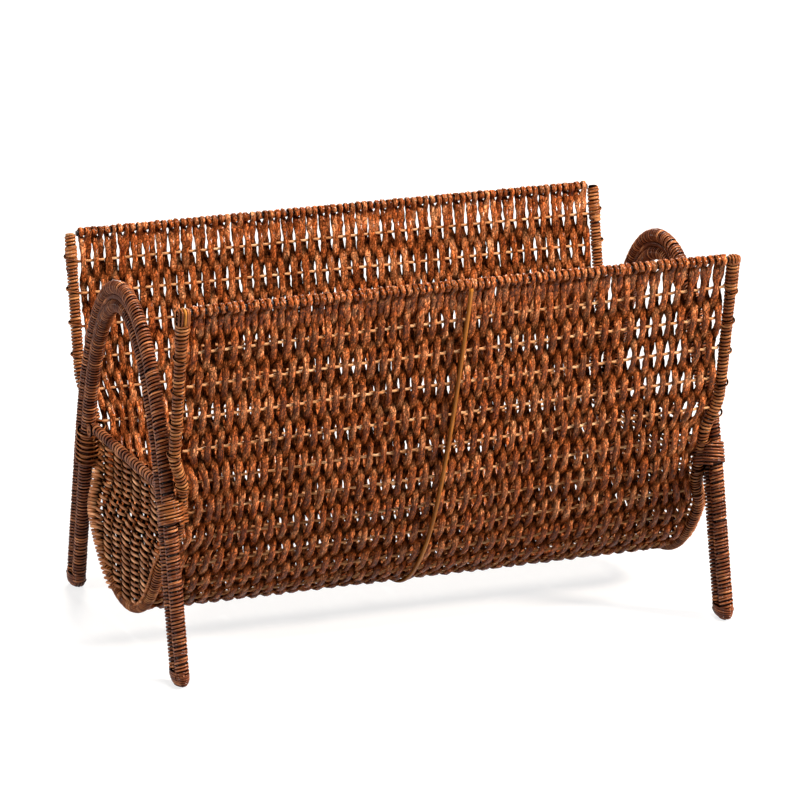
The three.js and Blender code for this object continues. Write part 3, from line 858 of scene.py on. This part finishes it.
    def add_lashing(self, parts: MeshParts, front: int) -> None:
        """Adds the turns that tie the hoop to a rod of the leg, through the groove between the two rods.

        Args:
            parts: the mesh to add to.
            front: -1 for the front side and 1 for the rear side.
        """
        shape = self.shape
        rng = np.random.default_rng(80 + front)
        turn = np.linspace(0, self.lashing_turns, self.lashing_turns * 40)
        angle = TAU * turn
        span = self.front_lashing if front < 0 else self.rear_lashing
        along = (turn / self.lashing_turns - 0.5) * span + self.lashing_slant * np.sin(angle + 0.8)
        along = along + self.lashing_slide.along(rng, turn)
        depth = (shape.arch_plane - shape.crossing_plane) / 2
        facing = np.column_stack([np.cos(angle), np.sin(angle)])
        rod = np.array([-front * shape.rod_spacing / 2, -depth])
        hoop = np.array([0.0, depth])
        reach = np.maximum(facing @ rod + self.arch_radius, facing @ hoop + self.hoop_radius) + self.lashing_gap
        place = facing * reach[:, None] + self.lashing_rise.along(rng, turn)[:, None]
        flat = np.array(shape.leg(shape.joint_height)) + shape.leg_up * along[:, None] + shape.leg_out * place[:, :1]
        points = self.in_space(shape.arch_plane - depth - place[:, 1], flat, front)
        normals = self.in_space(-facing[:, 1], shape.leg_out * facing[:, :1], front)
        parts.tube(points, normals, *self.lashing_strand, 8, 0.3)

    def add_tie(self, parts: MeshParts, front: int) -> None:
        """Adds the thicker turns at the top of a post.

        Args:
            parts: the mesh to add to.
            front: -1 for the front side and 1 for the rear side.
        """
        course = self.shape.hoop_course(self.side)
        start, end = 8.0 if self.at_left else 1.5, self.tie_reach
        if front < 0:
            start, end = course.length - start, course.length - end
        radius = self.front_tie_radius if front < 0 else self.rear_tie_radius
        Winding(course.part(start, end), radius, self.tie_reed, 90 + front).add_to(parts)
        if front < 0:
            for place in self.cap_strands:
                self.add_cap_strand(parts, course.points[-1], place)

    def build_post_end(self) -> None:
        """Makes the bare end of the rod that shows on top of the rear post, and a strip over the front post."""
        course = self.shape.hoop_course(self.side)
        along = unit(course.points[0] - course.points[1])
        reach, radius = np.array(self.post_end).T
        parts = MeshParts()
        parts.tube(course.points[0] + along * reach[:, None], [1, 0, 0], radius, radius, 16, 0.9)
        self.finish(parts, "rear_post_end", "weft" if self.at_left else "copper_reed", Slot.PEELED_CANE)
        parts = MeshParts()
        self.add_cap_strand(parts, course.points[-1], 0.2)
        self.finish(parts, "front_post_strip", "golden_cane" if self.at_left else "copper_reed", Slot.PEELED_CANE)

    def add_cap_strand(self, parts: MeshParts, top: Array, place: float) -> None:
        """Adds one strand that is folded over the top of a post, at a distance along X from its middle.

        Args:
            parts: the mesh to add to.
            top: end of the post's middle line.
            place: the distance.
        """
        reach = math.sqrt((self.front_tie_radius - self.cap_inset) ** 2 - place**2)
        angle = np.linspace(0, math.pi, 16)
        over = np.column_stack([np.zeros(16), reach * np.cos(angle), (0.4 + 0.5 * reach) * np.sin(angle)])
        depth = 9.0 if self.at_left else 2.5
        down = np.column_stack([np.zeros(5), np.full(5, reach), np.linspace(-depth, -1, 5)])
        line = np.vstack([down, over, (down * [1, -1, 1])[::-1]])
        normals = unit(line * [0, 1, 0] + np.array([0, 0, 1.0]) * (line[:, 2:] > -0.5) * 2 + [place * 0.3, 0, 0])
        line[:, 1] += math.copysign(self.shape.post_slope, top[1]) * np.minimum(line[:, 2], 0)
        line[:, 0] += place
        parts.tube(top + line, normals, *self.cap_strand, 8, 0.5 + place / 9)

    def build_feet(self) -> None:
        """Binds the ends of the legs."""
        for place, front in FACES:
            parts = MeshParts()
            self.add_foot(parts, front)
            self.finish(parts, f"{place}_foot_binding", "dark_reed", Slot.DARK_REED, f"{place}_foot_cap")

    def add_foot(self, parts: MeshParts, front: int) -> None:
        """Adds the reed that runs round both leg ends and closes under them.

        Args:
            parts: the mesh to add to.
            front: -1 for the front side and 1 for the rear side.
        """
        shape = self.shape
        rng = np.random.default_rng(100 + front)
        turn = np.linspace(0, self.foot_turns, self.foot_turns * 36)
        angle = TAU * turn
        share = turn / self.foot_turns
        height = 1.0 + (self.foot_height - 1.0) * (1 - share)
        closing = np.sqrt(np.clip(1 - (share * 0.97) ** 3, 0.02, 1))
        wide = (shape.rod_spacing / 2 + self.arch_radius - 0.3) * closing
        deep = (self.arch_radius + 0.2) * closing
        facing = np.column_stack([np.cos(angle), np.sin(angle)])
        place = facing * np.column_stack([wide, deep]) + self.foot_noise.along(rng, turn)[:, None]
        flat = np.array([shape.leg(h) for h in height]) + shape.leg_out * place[:, :1]
        flat[:, 1] = np.maximum(height, self.ground_gap)
        points = self.in_space(shape.arch_plane + place[:, 1], flat, front)
        normals = self.in_space(facing[:, 1], shape.leg_out * facing[:, :1], front)
        parts.tube(points, normals, *self.foot_strand, 8, rng.random())
        for number in range(self.fold_count):
            self.add_foot_fold(parts, rng, front, (number - self.fold_count // 2) * self.fold_spacing)

    def add_foot_fold(self, parts: MeshParts, rng: np.random.Generator, front: int, place: float) -> None:
        """Adds a strand that is folded under both rods of a leg, at a distance along X from its middle.

        Args:
            parts: the mesh to add to.
            rng: where the random numbers come from.
            front: -1 for the front side and 1 for the rear side.
            place: the distance.
        """
        shape = self.shape
        angle = (np.linspace(0.02, 0.98, 30) * math.pi)[:, None]
        reach = (shape.rod_spacing / 2 + self.arch_radius - 0.9) * math.sqrt(1 - (place / 5.6) ** 2)
        drop = self.fold_drop * np.sqrt(1 - (place / 6.5) ** 2) + self.fold_noise.along(rng, angle[:, 0])[:, None]
        top = np.array(shape.leg(8.0 + 1.0 * rng.random()))
        flat = top + shape.leg_out * (reach * np.cos(angle)) - shape.leg_up * (drop * np.sin(angle))
        flat[:, 1] = np.maximum(flat[:, 1], self.ground_gap)
        across = place * (1 - 0.25 * np.sin(angle)) + 0.5 * np.cos(angle)
        points = self.in_space(shape.arch_plane + across[:, 0], flat, front)
        normals = self.in_space(0.0, shape.leg_out * np.cos(angle) - shape.leg_up * np.sin(angle), front)
        parts.tube(points, normals, *self.foot_strand, 8, rng.random())


@dataclass
class EndPanel:
    """The wicker panel that closes an end below the crossbar. Lengths are in millimetres."""

    side: Side
    shape: FrameShape
    looks: Looks
    top: float = 124.0
    lowest_row: float = 4.5
    wrap_reach: float = 7.0
    stake_count: int = 5
    stake_spacing: float = 20.0
    stake_radius: float = 1.3
    weaver_radius: float = 1.12
    weaver_pitch: float = 2.15
    weaver_noise: Noise = Noise(0.35, 18.0)
    swing: float = 1.75
    sag: float = 0.5

    def build(self) -> None:
        """Weaves the panel over its stakes."""
        parts = MeshParts()
        rng = np.random.default_rng(200 + self.side.value)
        rows = np.arange(self.shape.belly_height + self.lowest_row, self.top, self.weaver_pitch)
        for index, height in enumerate(rows):
            self.add_weaver(parts, rng, index, float(height))
        name = f"{self.side.label}_panel_weave"
        parts.make(f"{name}rs", self.looks["panel_reed"], Slot.DARK_REED, [name])
        self.build_stakes()

    def rear_hoop(self, below: float) -> Array:
        """The rear half of the hoop's middle line.

        Args:
            below: height that it ends at.

        Returns:
            Its points from the lowest one up, as y and z.
        """
        line = self.shape.hoop()
        rear = line[np.argmin(line[:, 1]) :: -1]
        return rear[rear[:, 1] < below]

    def half_width(self, height: float) -> float:
        """Distance from the middle to the hoop's middle line at a height."""
        rear = self.rear_hoop(200)
        return float(np.interp(height, rear[:, 1], rear[:, 0]))

    def add_weaver(self, parts: MeshParts, rng: np.random.Generator, index: int, height: float) -> None:
        """Adds one row that goes over and under the stakes and round the hoop at both ends.

        Args:
            parts: the mesh to add to.
            rng: where the random numbers come from.
            index: number of the row, from below.
            height: its height above the floor.
        """
        half = self.half_width(height)
        y = np.linspace(-half, half, max(24, int(2 * half / 1.2)))
        swing = self.swing * np.cos(math.pi * y / self.stake_spacing + math.pi * (index % 2))
        plane = self.shape.hoop_plane(np.full(len(y), height))
        wrap = smoothstep(np.abs(y), half - self.wrap_reach, half)
        x = self.side.value * (plane + (1 - wrap) * swing + wrap * (self.shape.hoop_radius + 0.9))
        sag = self.sag * np.sin(math.pi * y / self.stake_spacing)
        z = height + self.weaver_noise.along(rng, y) + sag
        # The lift paints shade on the row where it dips behind the stakes and a painted highlight where it passes over
        # them; where it wraps the hoop it is full.
        lift = (1 - wrap) * swing / (self.swing + self.weaver_radius) + wrap
        points, radius = np.column_stack([x, y, z]), self.weaver_radius
        parts.tube(points, [self.side.value, 0, 0], radius, radius, 8, rng.random(), None, lift)

    def build_stakes(self) -> None:
        """Makes the stakes in the plane of the hoop."""
        label, radius = self.side.label, self.stake_radius
        for number in range(self.stake_count):
            y = (number - self.stake_count // 2) * self.stake_spacing
            z = np.linspace(self.floor(abs(y)), self.top + 3, 40)
            points = np.column_stack([self.side.value * self.shape.hoop_plane(z), np.full(40, y), z])
            parts = MeshParts()
            parts.tube(points, [1, 0, 0], radius, radius, 8, 0.1 * number)
            nodes = [f"{label}_panel_stake_{number + 1}"]
            parts.make(f"{label}_stake_{number + 1}", self.looks["dark_reed"], Slot.PEELED_CANE, nodes)

    def floor(self, distance: float) -> float:
        """Height of the hoop's middle line at a distance from the middle."""
        rear = self.rear_hoop(110)
        return float(np.interp(distance, rear[:, 0], rear[:, 1]))


@dataclass
class Trough:
    """The woven trough, its rails and the cane round its middle. Lengths are in millimetres.

    Each pair of row sizes holds the one at the left end and the one at the right end. Each stretch says where a
    change begins and ends: the first two below the rail, the lean as a share of the profile, and the last two from
    the end of a strand. A pair that is named a strand holds its half width and half depth.
    """

    shape: FrameShape
    looks: Looks
    strand_count: int = 82
    strand_sides: int = 12
    strand_step: float = 1.5
    half_width: float = 2.13
    half_depth: float = 1.1
    swing: float = 1.75
    front_lean: float = 0.5
    spread: float = 0.38
    loop_turn: float = 3.8
    rail_stretch: tuple[float, float] = (0.5, 6.0)
    weave_stretch: tuple[float, float] = (7.0, 17.0)
    lean_stretch: tuple[float, float] = (0.3, 0.6)
    tucked_stretch: tuple[float, float] = (26.0, 30.0)
    bare_stretch: tuple[float, float] = (38.0, 47.0)
    swing_noise: Noise = Noise(0.2, 14.0)
    drift: Noise = Noise(0.32, 30.0)
    jitter: Noise = Noise(0.24, 8.0)
    swell: Noise = Noise(0.08, 9.0)
    crumple: Noise = Noise(0.1, 3.0)
    depth_noise: Noise = Noise(0.22, 5.0)
    twist_noise: Noise = Noise(2.2, 26.0)
    twist_length: float = 9.0
    dent: float = 0.17
    row_count: int = 24
    front_first_row: tuple[float, float] = (29.8, 20.4)
    front_row_spacing: tuple[float, float] = (24.4, 23.1)
    rear_first_row: float = 19.9
    rear_row_spacing: float = 22.6
    end_gap: float = 1.4
    give_reach: float = 42.0
    weft_radius: float = 1.0
    weft_swing: float = 0.5
    weft_noise: Noise = Noise(0.4, 0.3)
    bare_belly: float = 0.17
    cane_bow: tuple[float, float] = (4.0, -11.0)
    cane_strand: tuple[float, float] = (1.5, 1.4)
    profile: Course = field(init=False)

    def __post_init__(self) -> None:
        """Lays out the profile."""
        line = self.shape.hoop()[::-1]
        front, rear = ((side * self.shape.post_span(self.shape.rail(side)), self.shape.rail(side)) for side in (-1, 1))
        keep = line[(line[:, 1] < front[1]) & ((line[:, 0] < 0) | (line[:, 1] < rear[1]))]
        line = np.vstack([[front], keep, [rear]])
        self.profile = Course(np.column_stack([np.zeros(len(line)), line]))

    def outward(self, at: Array) -> Array:
        """Direction out of the trough at distances along its profile."""
        return self.profile.frames(at)[2]

    def place_along(self, share: float, height: Array) -> Array:
        """Place of a strand along X: only the outer strands give way where the hoops bend in at the crossing.

        Args:
            share: the strand's place, from -1 at the left end to 1 at the right end.
            height: heights of its points.

        Returns:
            The X of each point.
        """
        free = self.shape.straight_plane(height) - self.shape.hoop_radius - self.end_gap
        bend = self.shape.straight_plane(height) - self.shape.hoop_plane(height)
        give = 1 - smoothstep(free * (1 - abs(share)), 0, self.give_reach)
        return math.copysign(1, share) * (abs(share) * free - bend * give)

    def rows(self, share: float | Array) -> Array:
        """Places of the rows of weft along the profile.

        Args:
            share: place along the basket, from -1 at the left end to 1 at the right end.

        Returns:
            The distances from the front rail; the last axis runs over the rows.
        """
        right = (np.asarray(share, float)[..., None] + 1) / 2
        number = np.arange(self.row_count)
        first, spacing = (a + (b - a) * right for a, b in (self.front_first_row, self.front_row_spacing))
        front = first + spacing * number
        rear = self.profile.length - self.rear_first_row - self.rear_row_spacing * (self.row_count - 1 - number)
        blend = smoothstep(number, 0.25 * self.row_count, 0.72 * self.row_count)
        return front * (1 - blend) + rear * blend

    def phase(self, at: Array, share: float) -> Array:
        """Angle that is zero at the first row of weft and grows by half a turn at each next row.

        Args:
            at: distances along the profile.
            share: the strand's place, from -1 at the left end to 1 at the right end.

        Returns:
            The angle at each distance.
        """
        rows = self.rows(share)
        inner = np.interp(at, rows, np.arange(len(rows)))
        before = np.minimum(at - rows[0], 0) / (rows[1] - rows[0])
        after = np.maximum(at - rows[-1], 0) / (rows[-1] - rows[-2])
        return math.pi * (inner + before + after)

    def build(self) -> None:
        """Weaves the trough and binds its rails."""
        rng = np.random.default_rng(300)
        parts = MeshParts()
        for number in range(self.strand_count):
            self.add_strand(parts, rng, number)
        nodes = ["trough_weave", "front_rail_binding", "rear_rail_binding"]
        parts.make("trough_strands", self.looks["strand"], Slot.CHESTNUT_STRAND, nodes)
        parts, ends = MeshParts(), MeshParts()
        for index in range(self.row_count):
            self.add_weft(parts, ends, rng, index)
        parts.make("trough_wefts", self.looks["weft"], Slot.GOLDEN_CANE, [])
        ends.make("trough_weft_ends", self.looks["copper_reed"], Slot.COPPER_REED, [])
        self.build_centre_cane()

    def add_strand(self, parts: MeshParts, rng: np.random.Generator, number: int) -> None:
        """Adds a strand that runs from one rail round the belly to the other and loops over both.

        It is drawn in where a weft crosses it and spreads between two wefts. Near the rails it hangs flat.

        Args:
            parts: the mesh to add to.
            rng: where the random numbers come from.
            number: number of the strand, from the left end.
        """
        share = (number + 0.5) / self.strand_count * 2 - 1
        sign = 1 if number % 2 == 0 else -1
        at = np.arange(0, self.profile.length, self.strand_step)
        centre = self.profile.place(at)
        out = self.outward(at)
        below = np.minimum(at, self.profile.length - at)
        fade = smoothstep(below, *self.weave_stretch)
        wave = sign * np.cos(self.phase(at, share))
        rail_side = self.rail_side(number, at)
        beside = (1 - smoothstep(below, *self.rail_stretch)) * rail_side
        swing = self.swing * wave * fade + beside * (self.shape.rail_radius + self.half_depth * 0.6)
        swing = swing + self.swing_noise.along(rng, at) * fade
        points = centre + out * swing[:, None]
        lean = wave * fade * (1 - smoothstep(at / self.profile.length, *self.lean_stretch))
        lean = lean + sign * smoothstep(below, 0, 4) * (1 - smoothstep(below, 11, 19))
        points[:, 0] = self.place_along(share, centre[:, 2]) + self.front_lean * lean
        points[:, 0] += self.drift.along(rng, at) + self.jitter.along(rng, at)
        points, normals, height = self.loop_over(points, out, swing, rail_side)
        n, sides = len(points), self.strand_sides
        travel = np.arange(n) * self.strand_step
        from_end = np.minimum(travel, travel[-1] - travel)
        bare = 1 - smoothstep(from_end, *self.bare_stretch)
        spread = 1 + self.spread * (1 - np.clip(np.abs(height) * 1.5, 0, 1)) - 0.12 * bare
        # From here on the height only sets the lift: towards the tucked ends it falls, so there the lift follows the
        # bare faces, full on both, with painted shade only on the edges where neighbouring strands meet.
        height = height * (1 - 0.85 * (1 - smoothstep(from_end, *self.tucked_stretch)))
        uneven = 1 + self.swell.along(rng, travel) + self.crumple.along(rng, travel)
        width = self.half_width * spread * uneven
        depth = self.half_depth * (1 + self.depth_noise.along(rng, travel))
        angle = TAU * np.arange(sides) / sides
        turn = travel / self.twist_length + self.twist_noise.along(rng, travel)
        ripple = 1 + 0.11 * np.cos(2 * angle + turn[:, None]) + 0.07 * np.cos(5 * angle - 2 * turn[:, None])
        dents = rng.normal(0, self.dent, (n + 2, sides))
        ripple = ripple + 0.25 * dents[:-2] + 0.5 * dents[1:-1] + 0.25 * dents[2:]
        parts.tube(points, normals, width, depth, sides, rng.random(), ripple, height, bare)

    def rail_side(self, number: int, at: Array) -> Array:
        """Side of the nearer rail on which a strand leaves it.

        Args:
            number: number of the strand.
            at: distances along the profile.

        Returns:
            1 for outside and -1 for inside, for each distance.
        """
        sign = 1 if number % 2 == 0 else -1
        rear = -sign if self.row_count % 2 else sign
        return np.where(at > self.profile.length / 2, rear, -sign)

    def loop_over(self, points: Array, out: Array, swing: Array, rail_side: Array) -> tuple[Array, Array, Array]:
        """Carries both ends of a strand over the rails and tucks them in underneath.

        Args:
            points: the strand between the rails.
            out: the direction out of the trough at each point.
            swing: how far outside the middle of the weave each point lies.
            rail_side: 1 where the strand leaves the nearer rail outside, and -1 where it leaves it inside.

        Returns:
            The longer strand, its outer side and its height over the middle of the weave.
        """
        normals = out
        height = swing / (self.swing + self.half_depth)
        angle = np.linspace(0.15, self.loop_turn, 18)[:, None]
        radius = self.shape.rail_radius + self.half_depth * (0.95 - 0.5 * smoothstep(angle, 2.8, self.loop_turn))
        for end in (0, -1):
            front = -1 if end == 0 else 1
            rail = self.shape.rail(front)
            middle = np.array([points[end, 0], front * self.shape.post_span(rail), rail])
            away = out[end] * rail_side[end]
            facing = away * np.cos(angle) + np.array([0.0, 0.0, 1.0]) * np.sin(angle)
            loop = middle + facing * radius
            added = np.full(len(loop), float(rail_side[end]))
            face = facing * rail_side[end]
            if end == 0:
                points = np.vstack([loop[::-1], points[1:]])
                normals = np.vstack([face[::-1], normals[1:]])
                height = np.concatenate([added, height[1:]])
            else:
                points = np.vstack([points[:-1], loop])
                normals = np.vstack([normals[:-1], face])
                height = np.concatenate([height[:-1], added])
        return points, normals, height

    def add_weft(self, parts: MeshParts, ends: MeshParts, rng: np.random.Generator, index: int) -> None:
        """Adds one thin cane across all the strands, and its ends round the hoops.

        Args:
            parts: the mesh that the cane goes into.
            ends: the mesh that its ends go into, except under the belly, where none show.
            rng: where the random numbers come from.
            index: number of the row, from the front rail.
        """
        x = np.linspace(-1, 1, 700)
        at = self.rows(x)[:, index] + self.weft_noise.along(rng, x)
        centre = self.profile.place(at)
        out = self.outward(at)
        number = (x + 1) / 2 * self.strand_count - 0.5
        swing = -self.weft_swing * np.cos(math.pi * (number + index))
        points = centre + out * swing[:, None]
        points[:, 0] = x * (self.shape.hoop_plane(centre[:, 2]) - self.shape.hoop_radius - self.weft_radius)
        n, radius = len(points), self.weft_radius
        # A lift of 0.9 keeps the weft light, with a little painted shade on the side turned in.
        parts.tube(points, out[n // 2], radius, radius, 7, rng.random(), None, np.full(n, 0.9))
        for end, side in ((0, -1), (-1, 1)):
            if abs(at[end] / self.profile.length - 0.5) < self.bare_belly:
                continue
            turn = self.weft_end(rng, at[end], side)
            facing = unit(turn - turn.mean(axis=0))
            ends.tube(turn, facing, 0.9 * radius, 0.7 * radius, 7, rng.random())

    def weft_end(self, rng: np.random.Generator, at: float, side: int) -> Array:
        """The end of a weft, turned once round the hoop.

        Args:
            rng: where the random numbers come from.
            at: where the weft reaches the hoop, along the profile.
            side: 1 at the right end and -1 at the left end.

        Returns:
            The points of the turn, from the weave on.
        """
        place = np.array([at])
        centre, out, along = self.profile.place(place)[0], self.outward(place)[0], self.profile.frames(place)[0][0]
        centre[0] = side * float(self.shape.hoop_plane(centre[2]))
        angle = np.linspace(-0.9 * math.pi, 0.75 * math.pi, 34)[:, None]
        radius = self.shape.hoop_radius + 0.55
        rise = (0.35 + 0.3 * rng.random()) * 3.0 * (angle + 0.9 * math.pi)
        across = np.array([float(side), 0.0, 0.0])
        return centre + across * radius * np.cos(angle) + out * radius * np.sin(angle) + along * rise * 0.7

    def build_centre_cane(self) -> None:
        """Lays the smooth cane round the outside of the trough."""
        at = np.arange(1.0, self.profile.length - 1, 2.0)
        centre = self.profile.place(at)
        out = self.outward(at)
        share = at / self.profile.length
        start, bow = self.cane_bow
        under = 1 - smoothstep(np.abs(share - 0.5), 0.08, 0.2)
        points = centre + out * (self.swing + self.half_depth + 1.4 - 1.2 * under)[:, None]
        points[:, 0] = start + bow * np.sin(math.pi * np.clip(share * 1.15, 0, 1)) ** 1.2
        parts = MeshParts()
        parts.tube(points, out, *self.cane_strand, 12, 0.3)
        parts.make("centre_cane_bent", self.looks["golden_cane"], Slot.GOLDEN_CANE, ["centre_cane"])


# Studio


@dataclass(frozen=True)
class Lamp:
    """A square soft light that faces the basket. Lengths are in metres and the power is in watts."""

    name: str
    place: tuple[float, float, float]
    size: float
    power: float
    colour: str

    def build(self) -> None:
        """Makes the lamp."""
        light = bpy.data.lights.new(self.name, "AREA")
        light.size, light.energy, light.color = self.size, self.power, linear(self.colour)[:3]
        lamp = bpy.data.objects.new(self.name, light)
        lamp.location = self.place
        lamp.rotation_euler = (Vector((0, 0, 0.13)) - Vector(self.place)).to_track_quat("-Z", "Y").to_euler()
        bpy.context.scene.collection.objects.link(lamp)


@dataclass
class Studio:
    """Backdrop, lights and camera.

    The camera's lengths are in millimetres and its angles in degrees. The floor's lengths are in metres.
    """

    azimuth: float = -21.1245
    elevation: float = 16.3597
    roll: float = 0.1431
    shift_right: float = 1.9014
    shift_up: float = 17.2699
    distance: float = 3720.09
    focal_pixels: float = 5337.45
    target: tuple[float, float, float] = (0.0, 0.0, 130.0)
    image_pixels: int = 800
    sensor: float = 36.0
    floor_half_width: float = 5.0
    floor_reach: tuple[float, float] = (-4.0, 2.2)
    floor_bend: float = 1.4
    wall_top: float = 5.0
    lamps: tuple[Lamp, ...] = (
        Lamp("key", (2.4, -1.6, 1.9), 0.6, 175.0, "fff4e8"),
        Lamp("fill", (-3.0, -0.1, 1.2), 0.4, 46.0, "f8f4f0"),
        Lamp("back", (0.6, 2.1, 1.8), 0.6, 60.0, "fff8f0"),
        Lamp("top", (0.1, -0.9, 2.4), 0.4, 40.0, "ffffff"),
    )

    def build(self) -> None:
        """Sets up everything round the basket."""
        self.build_floor()
        for lamp in self.lamps:
            lamp.build()
        self.build_world()
        self.build_camera()

    def build_floor(self) -> None:
        """Makes a wide pale floor that curves up behind."""
        (front, back), bend = self.floor_reach, self.floor_bend
        curve = [(back + bend * math.sin(a), bend - bend * math.cos(a)) for a in np.linspace(0.1, math.pi / 2, 14)]
        profile = [(front, 0.0), (back, 0.0), *curve, (back + bend, self.wall_top)]
        mesh = bpy.data.meshes.new("floor")
        half = self.floor_half_width
        vertices = [(x, y, z) for y, z in profile for x in (-half, half)]
        faces = [(2 * i, 2 * i + 1, 2 * i + 3, 2 * i + 2) for i in range(len(profile) - 1)]
        mesh.from_pydata(vertices, [], faces)
        mesh.polygons.foreach_set("use_smooth", np.ones(len(mesh.polygons), bool))
        mesh.materials.append(self.paper())
        floor = bpy.data.objects.new("floor", mesh)
        bpy.context.scene.collection.objects.link(floor)

    def paper(self) -> bpy.types.Material:
        """Makes the backdrop's matt paper.

        Returns:
            A material that is seen white and keeps the basket's shadow, and whose glow fades out in front.
        """
        material = bpy.data.materials.new("matt pale paper backdrop")
        tree = new_tree(material)
        noise = add_node(tree, "TexNoise", {}, {"Scale": 3.0, "Detail": 2.0})
        colour = add_node(tree, "ValToRGB", {}, {"Fac": noise}, ((0.3, "8e8c8a"), (0.7, "969492")))
        place = add_node(tree, "TexCoord").outputs["Object"]
        depth = add_node(tree, "SeparateXYZ", {}, {0: place}).outputs["Y"]
        near = add_node(tree, "MapRange", {}, {0: depth, 1: -0.85, 2: -0.5, 3: 0.05, 4: 0.78})
        glow = add_node(tree, "Math", {"operation": "MULTIPLY"}, {0: self.seen_directly(tree), 1: near})
        shader = add_node(tree, "BsdfPrincipled", {}, {
            "Base Color": colour, "Roughness": 0.9, "Emission Color": linear("ffffff"), "Emission Strength": glow,
        })
        add_node(tree, "OutputMaterial", {}, {"Surface": shader})
        return material

    def seen_directly(self, tree: Tree) -> Node:
        """Tells what is seen from what only sends light.

        Args:
            tree: the tree to add to.

        Returns:
            1 for what the camera sees directly, in gloss or through something clear, and 0 for other light.
        """
        path = add_node(tree, "LightPath").outputs
        seen = path["Is Camera Ray"]
        for ray in ("Is Glossy Ray", "Is Transmission Ray"):
            seen = add_node(tree, "Math", {"operation": "MAXIMUM"}, {0: seen, 1: path[ray]})
        return seen

    def build_world(self) -> None:
        """Makes a dim even sky, which is seen as a white wall behind the basket and as a dark room elsewhere."""
        world = bpy.data.worlds.new("studio")
        bpy.context.scene.world = world
        tree = new_tree(world)
        place = add_node(tree, "TexCoord").outputs["Generated"]
        direction = add_node(tree, "SeparateXYZ", {}, {0: place}).outputs
        back = add_node(tree, "MapRange", {}, {0: direction["Y"], 1: 0.0, 2: 0.7, 3: 0.04, 4: 1.0})
        high = add_node(tree, "MapRange", {}, {0: direction["Z"], 1: 0.25, 2: 0.5, 3: 1.0, 4: 0.06})
        wall = add_node(tree, "Math", {"operation": "MULTIPLY"}, {0: back, 1: high})
        limits = {0: self.seen_directly(tree), 1: 0.0, 2: 1.0, 3: 0.06, 4: wall}
        strength = add_node(tree, "MapRange", {}, limits)
        sky = add_node(tree, "Background", {}, {"Color": linear("ffffff"), "Strength": strength})
        add_node(tree, "OutputWorld", {}, {"Surface": sky})

    def build_camera(self) -> None:
        """Places the camera at the photo's angle."""
        a, e, r = (math.radians(v) for v in (self.azimuth, self.elevation, self.roll))
        back = Vector((math.sin(a) * math.cos(e), -math.cos(a) * math.cos(e), math.sin(e)))
        right = (-back).cross(Vector((0, 0, 1))).normalized()
        up = right.cross(-back)
        place = Vector(self.target) + back * self.distance + right * self.shift_right + up * self.shift_up
        right2 = right * math.cos(r) + up * math.sin(r)
        up2 = up * math.cos(r) - right * math.sin(r)
        turn = Matrix((right2, up2, back)).transposed().to_4x4()
        data = bpy.data.cameras.new("camera")
        data.sensor_width = self.sensor
        data.lens = self.focal_pixels / self.image_pixels * self.sensor
        data.clip_start, data.clip_end = 0.1, 30.0
        camera = bpy.data.objects.new("camera", data)
        camera.matrix_world = Matrix.Translation(place * MM) @ turn
        bpy.context.scene.collection.objects.link(camera)
        bpy.context.scene.camera = camera


def stain_cores(material: bpy.types.Material) -> None:
    """Gives the CAD's cane cores their finish.

    Args:
        material: the finish.
    """
    for name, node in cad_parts.items():
        if name.endswith("_core"):
            node.data.materials.clear()
            node.data.materials.append(material)


def main() -> None:
    """Builds the basket and its studio."""
    logging.basicConfig(level=logging.INFO, format="%(name)s %(message)s")
    finishes = Finishes()
    looks = {key: getattr(finishes, key).build() for key in finishes.__dataclass_fields__}
    shape = FrameShape()
    stain_cores(looks["core"])
    for side in Side:
        EndFrame(side, shape, looks).build()
        EndPanel(side, shape, looks).build()
    Trough(shape, looks).build()
    Studio().build()
    bpy.context.scene.view_settings.view_transform = "Standard"


if __name__ == "__main__":
    main()
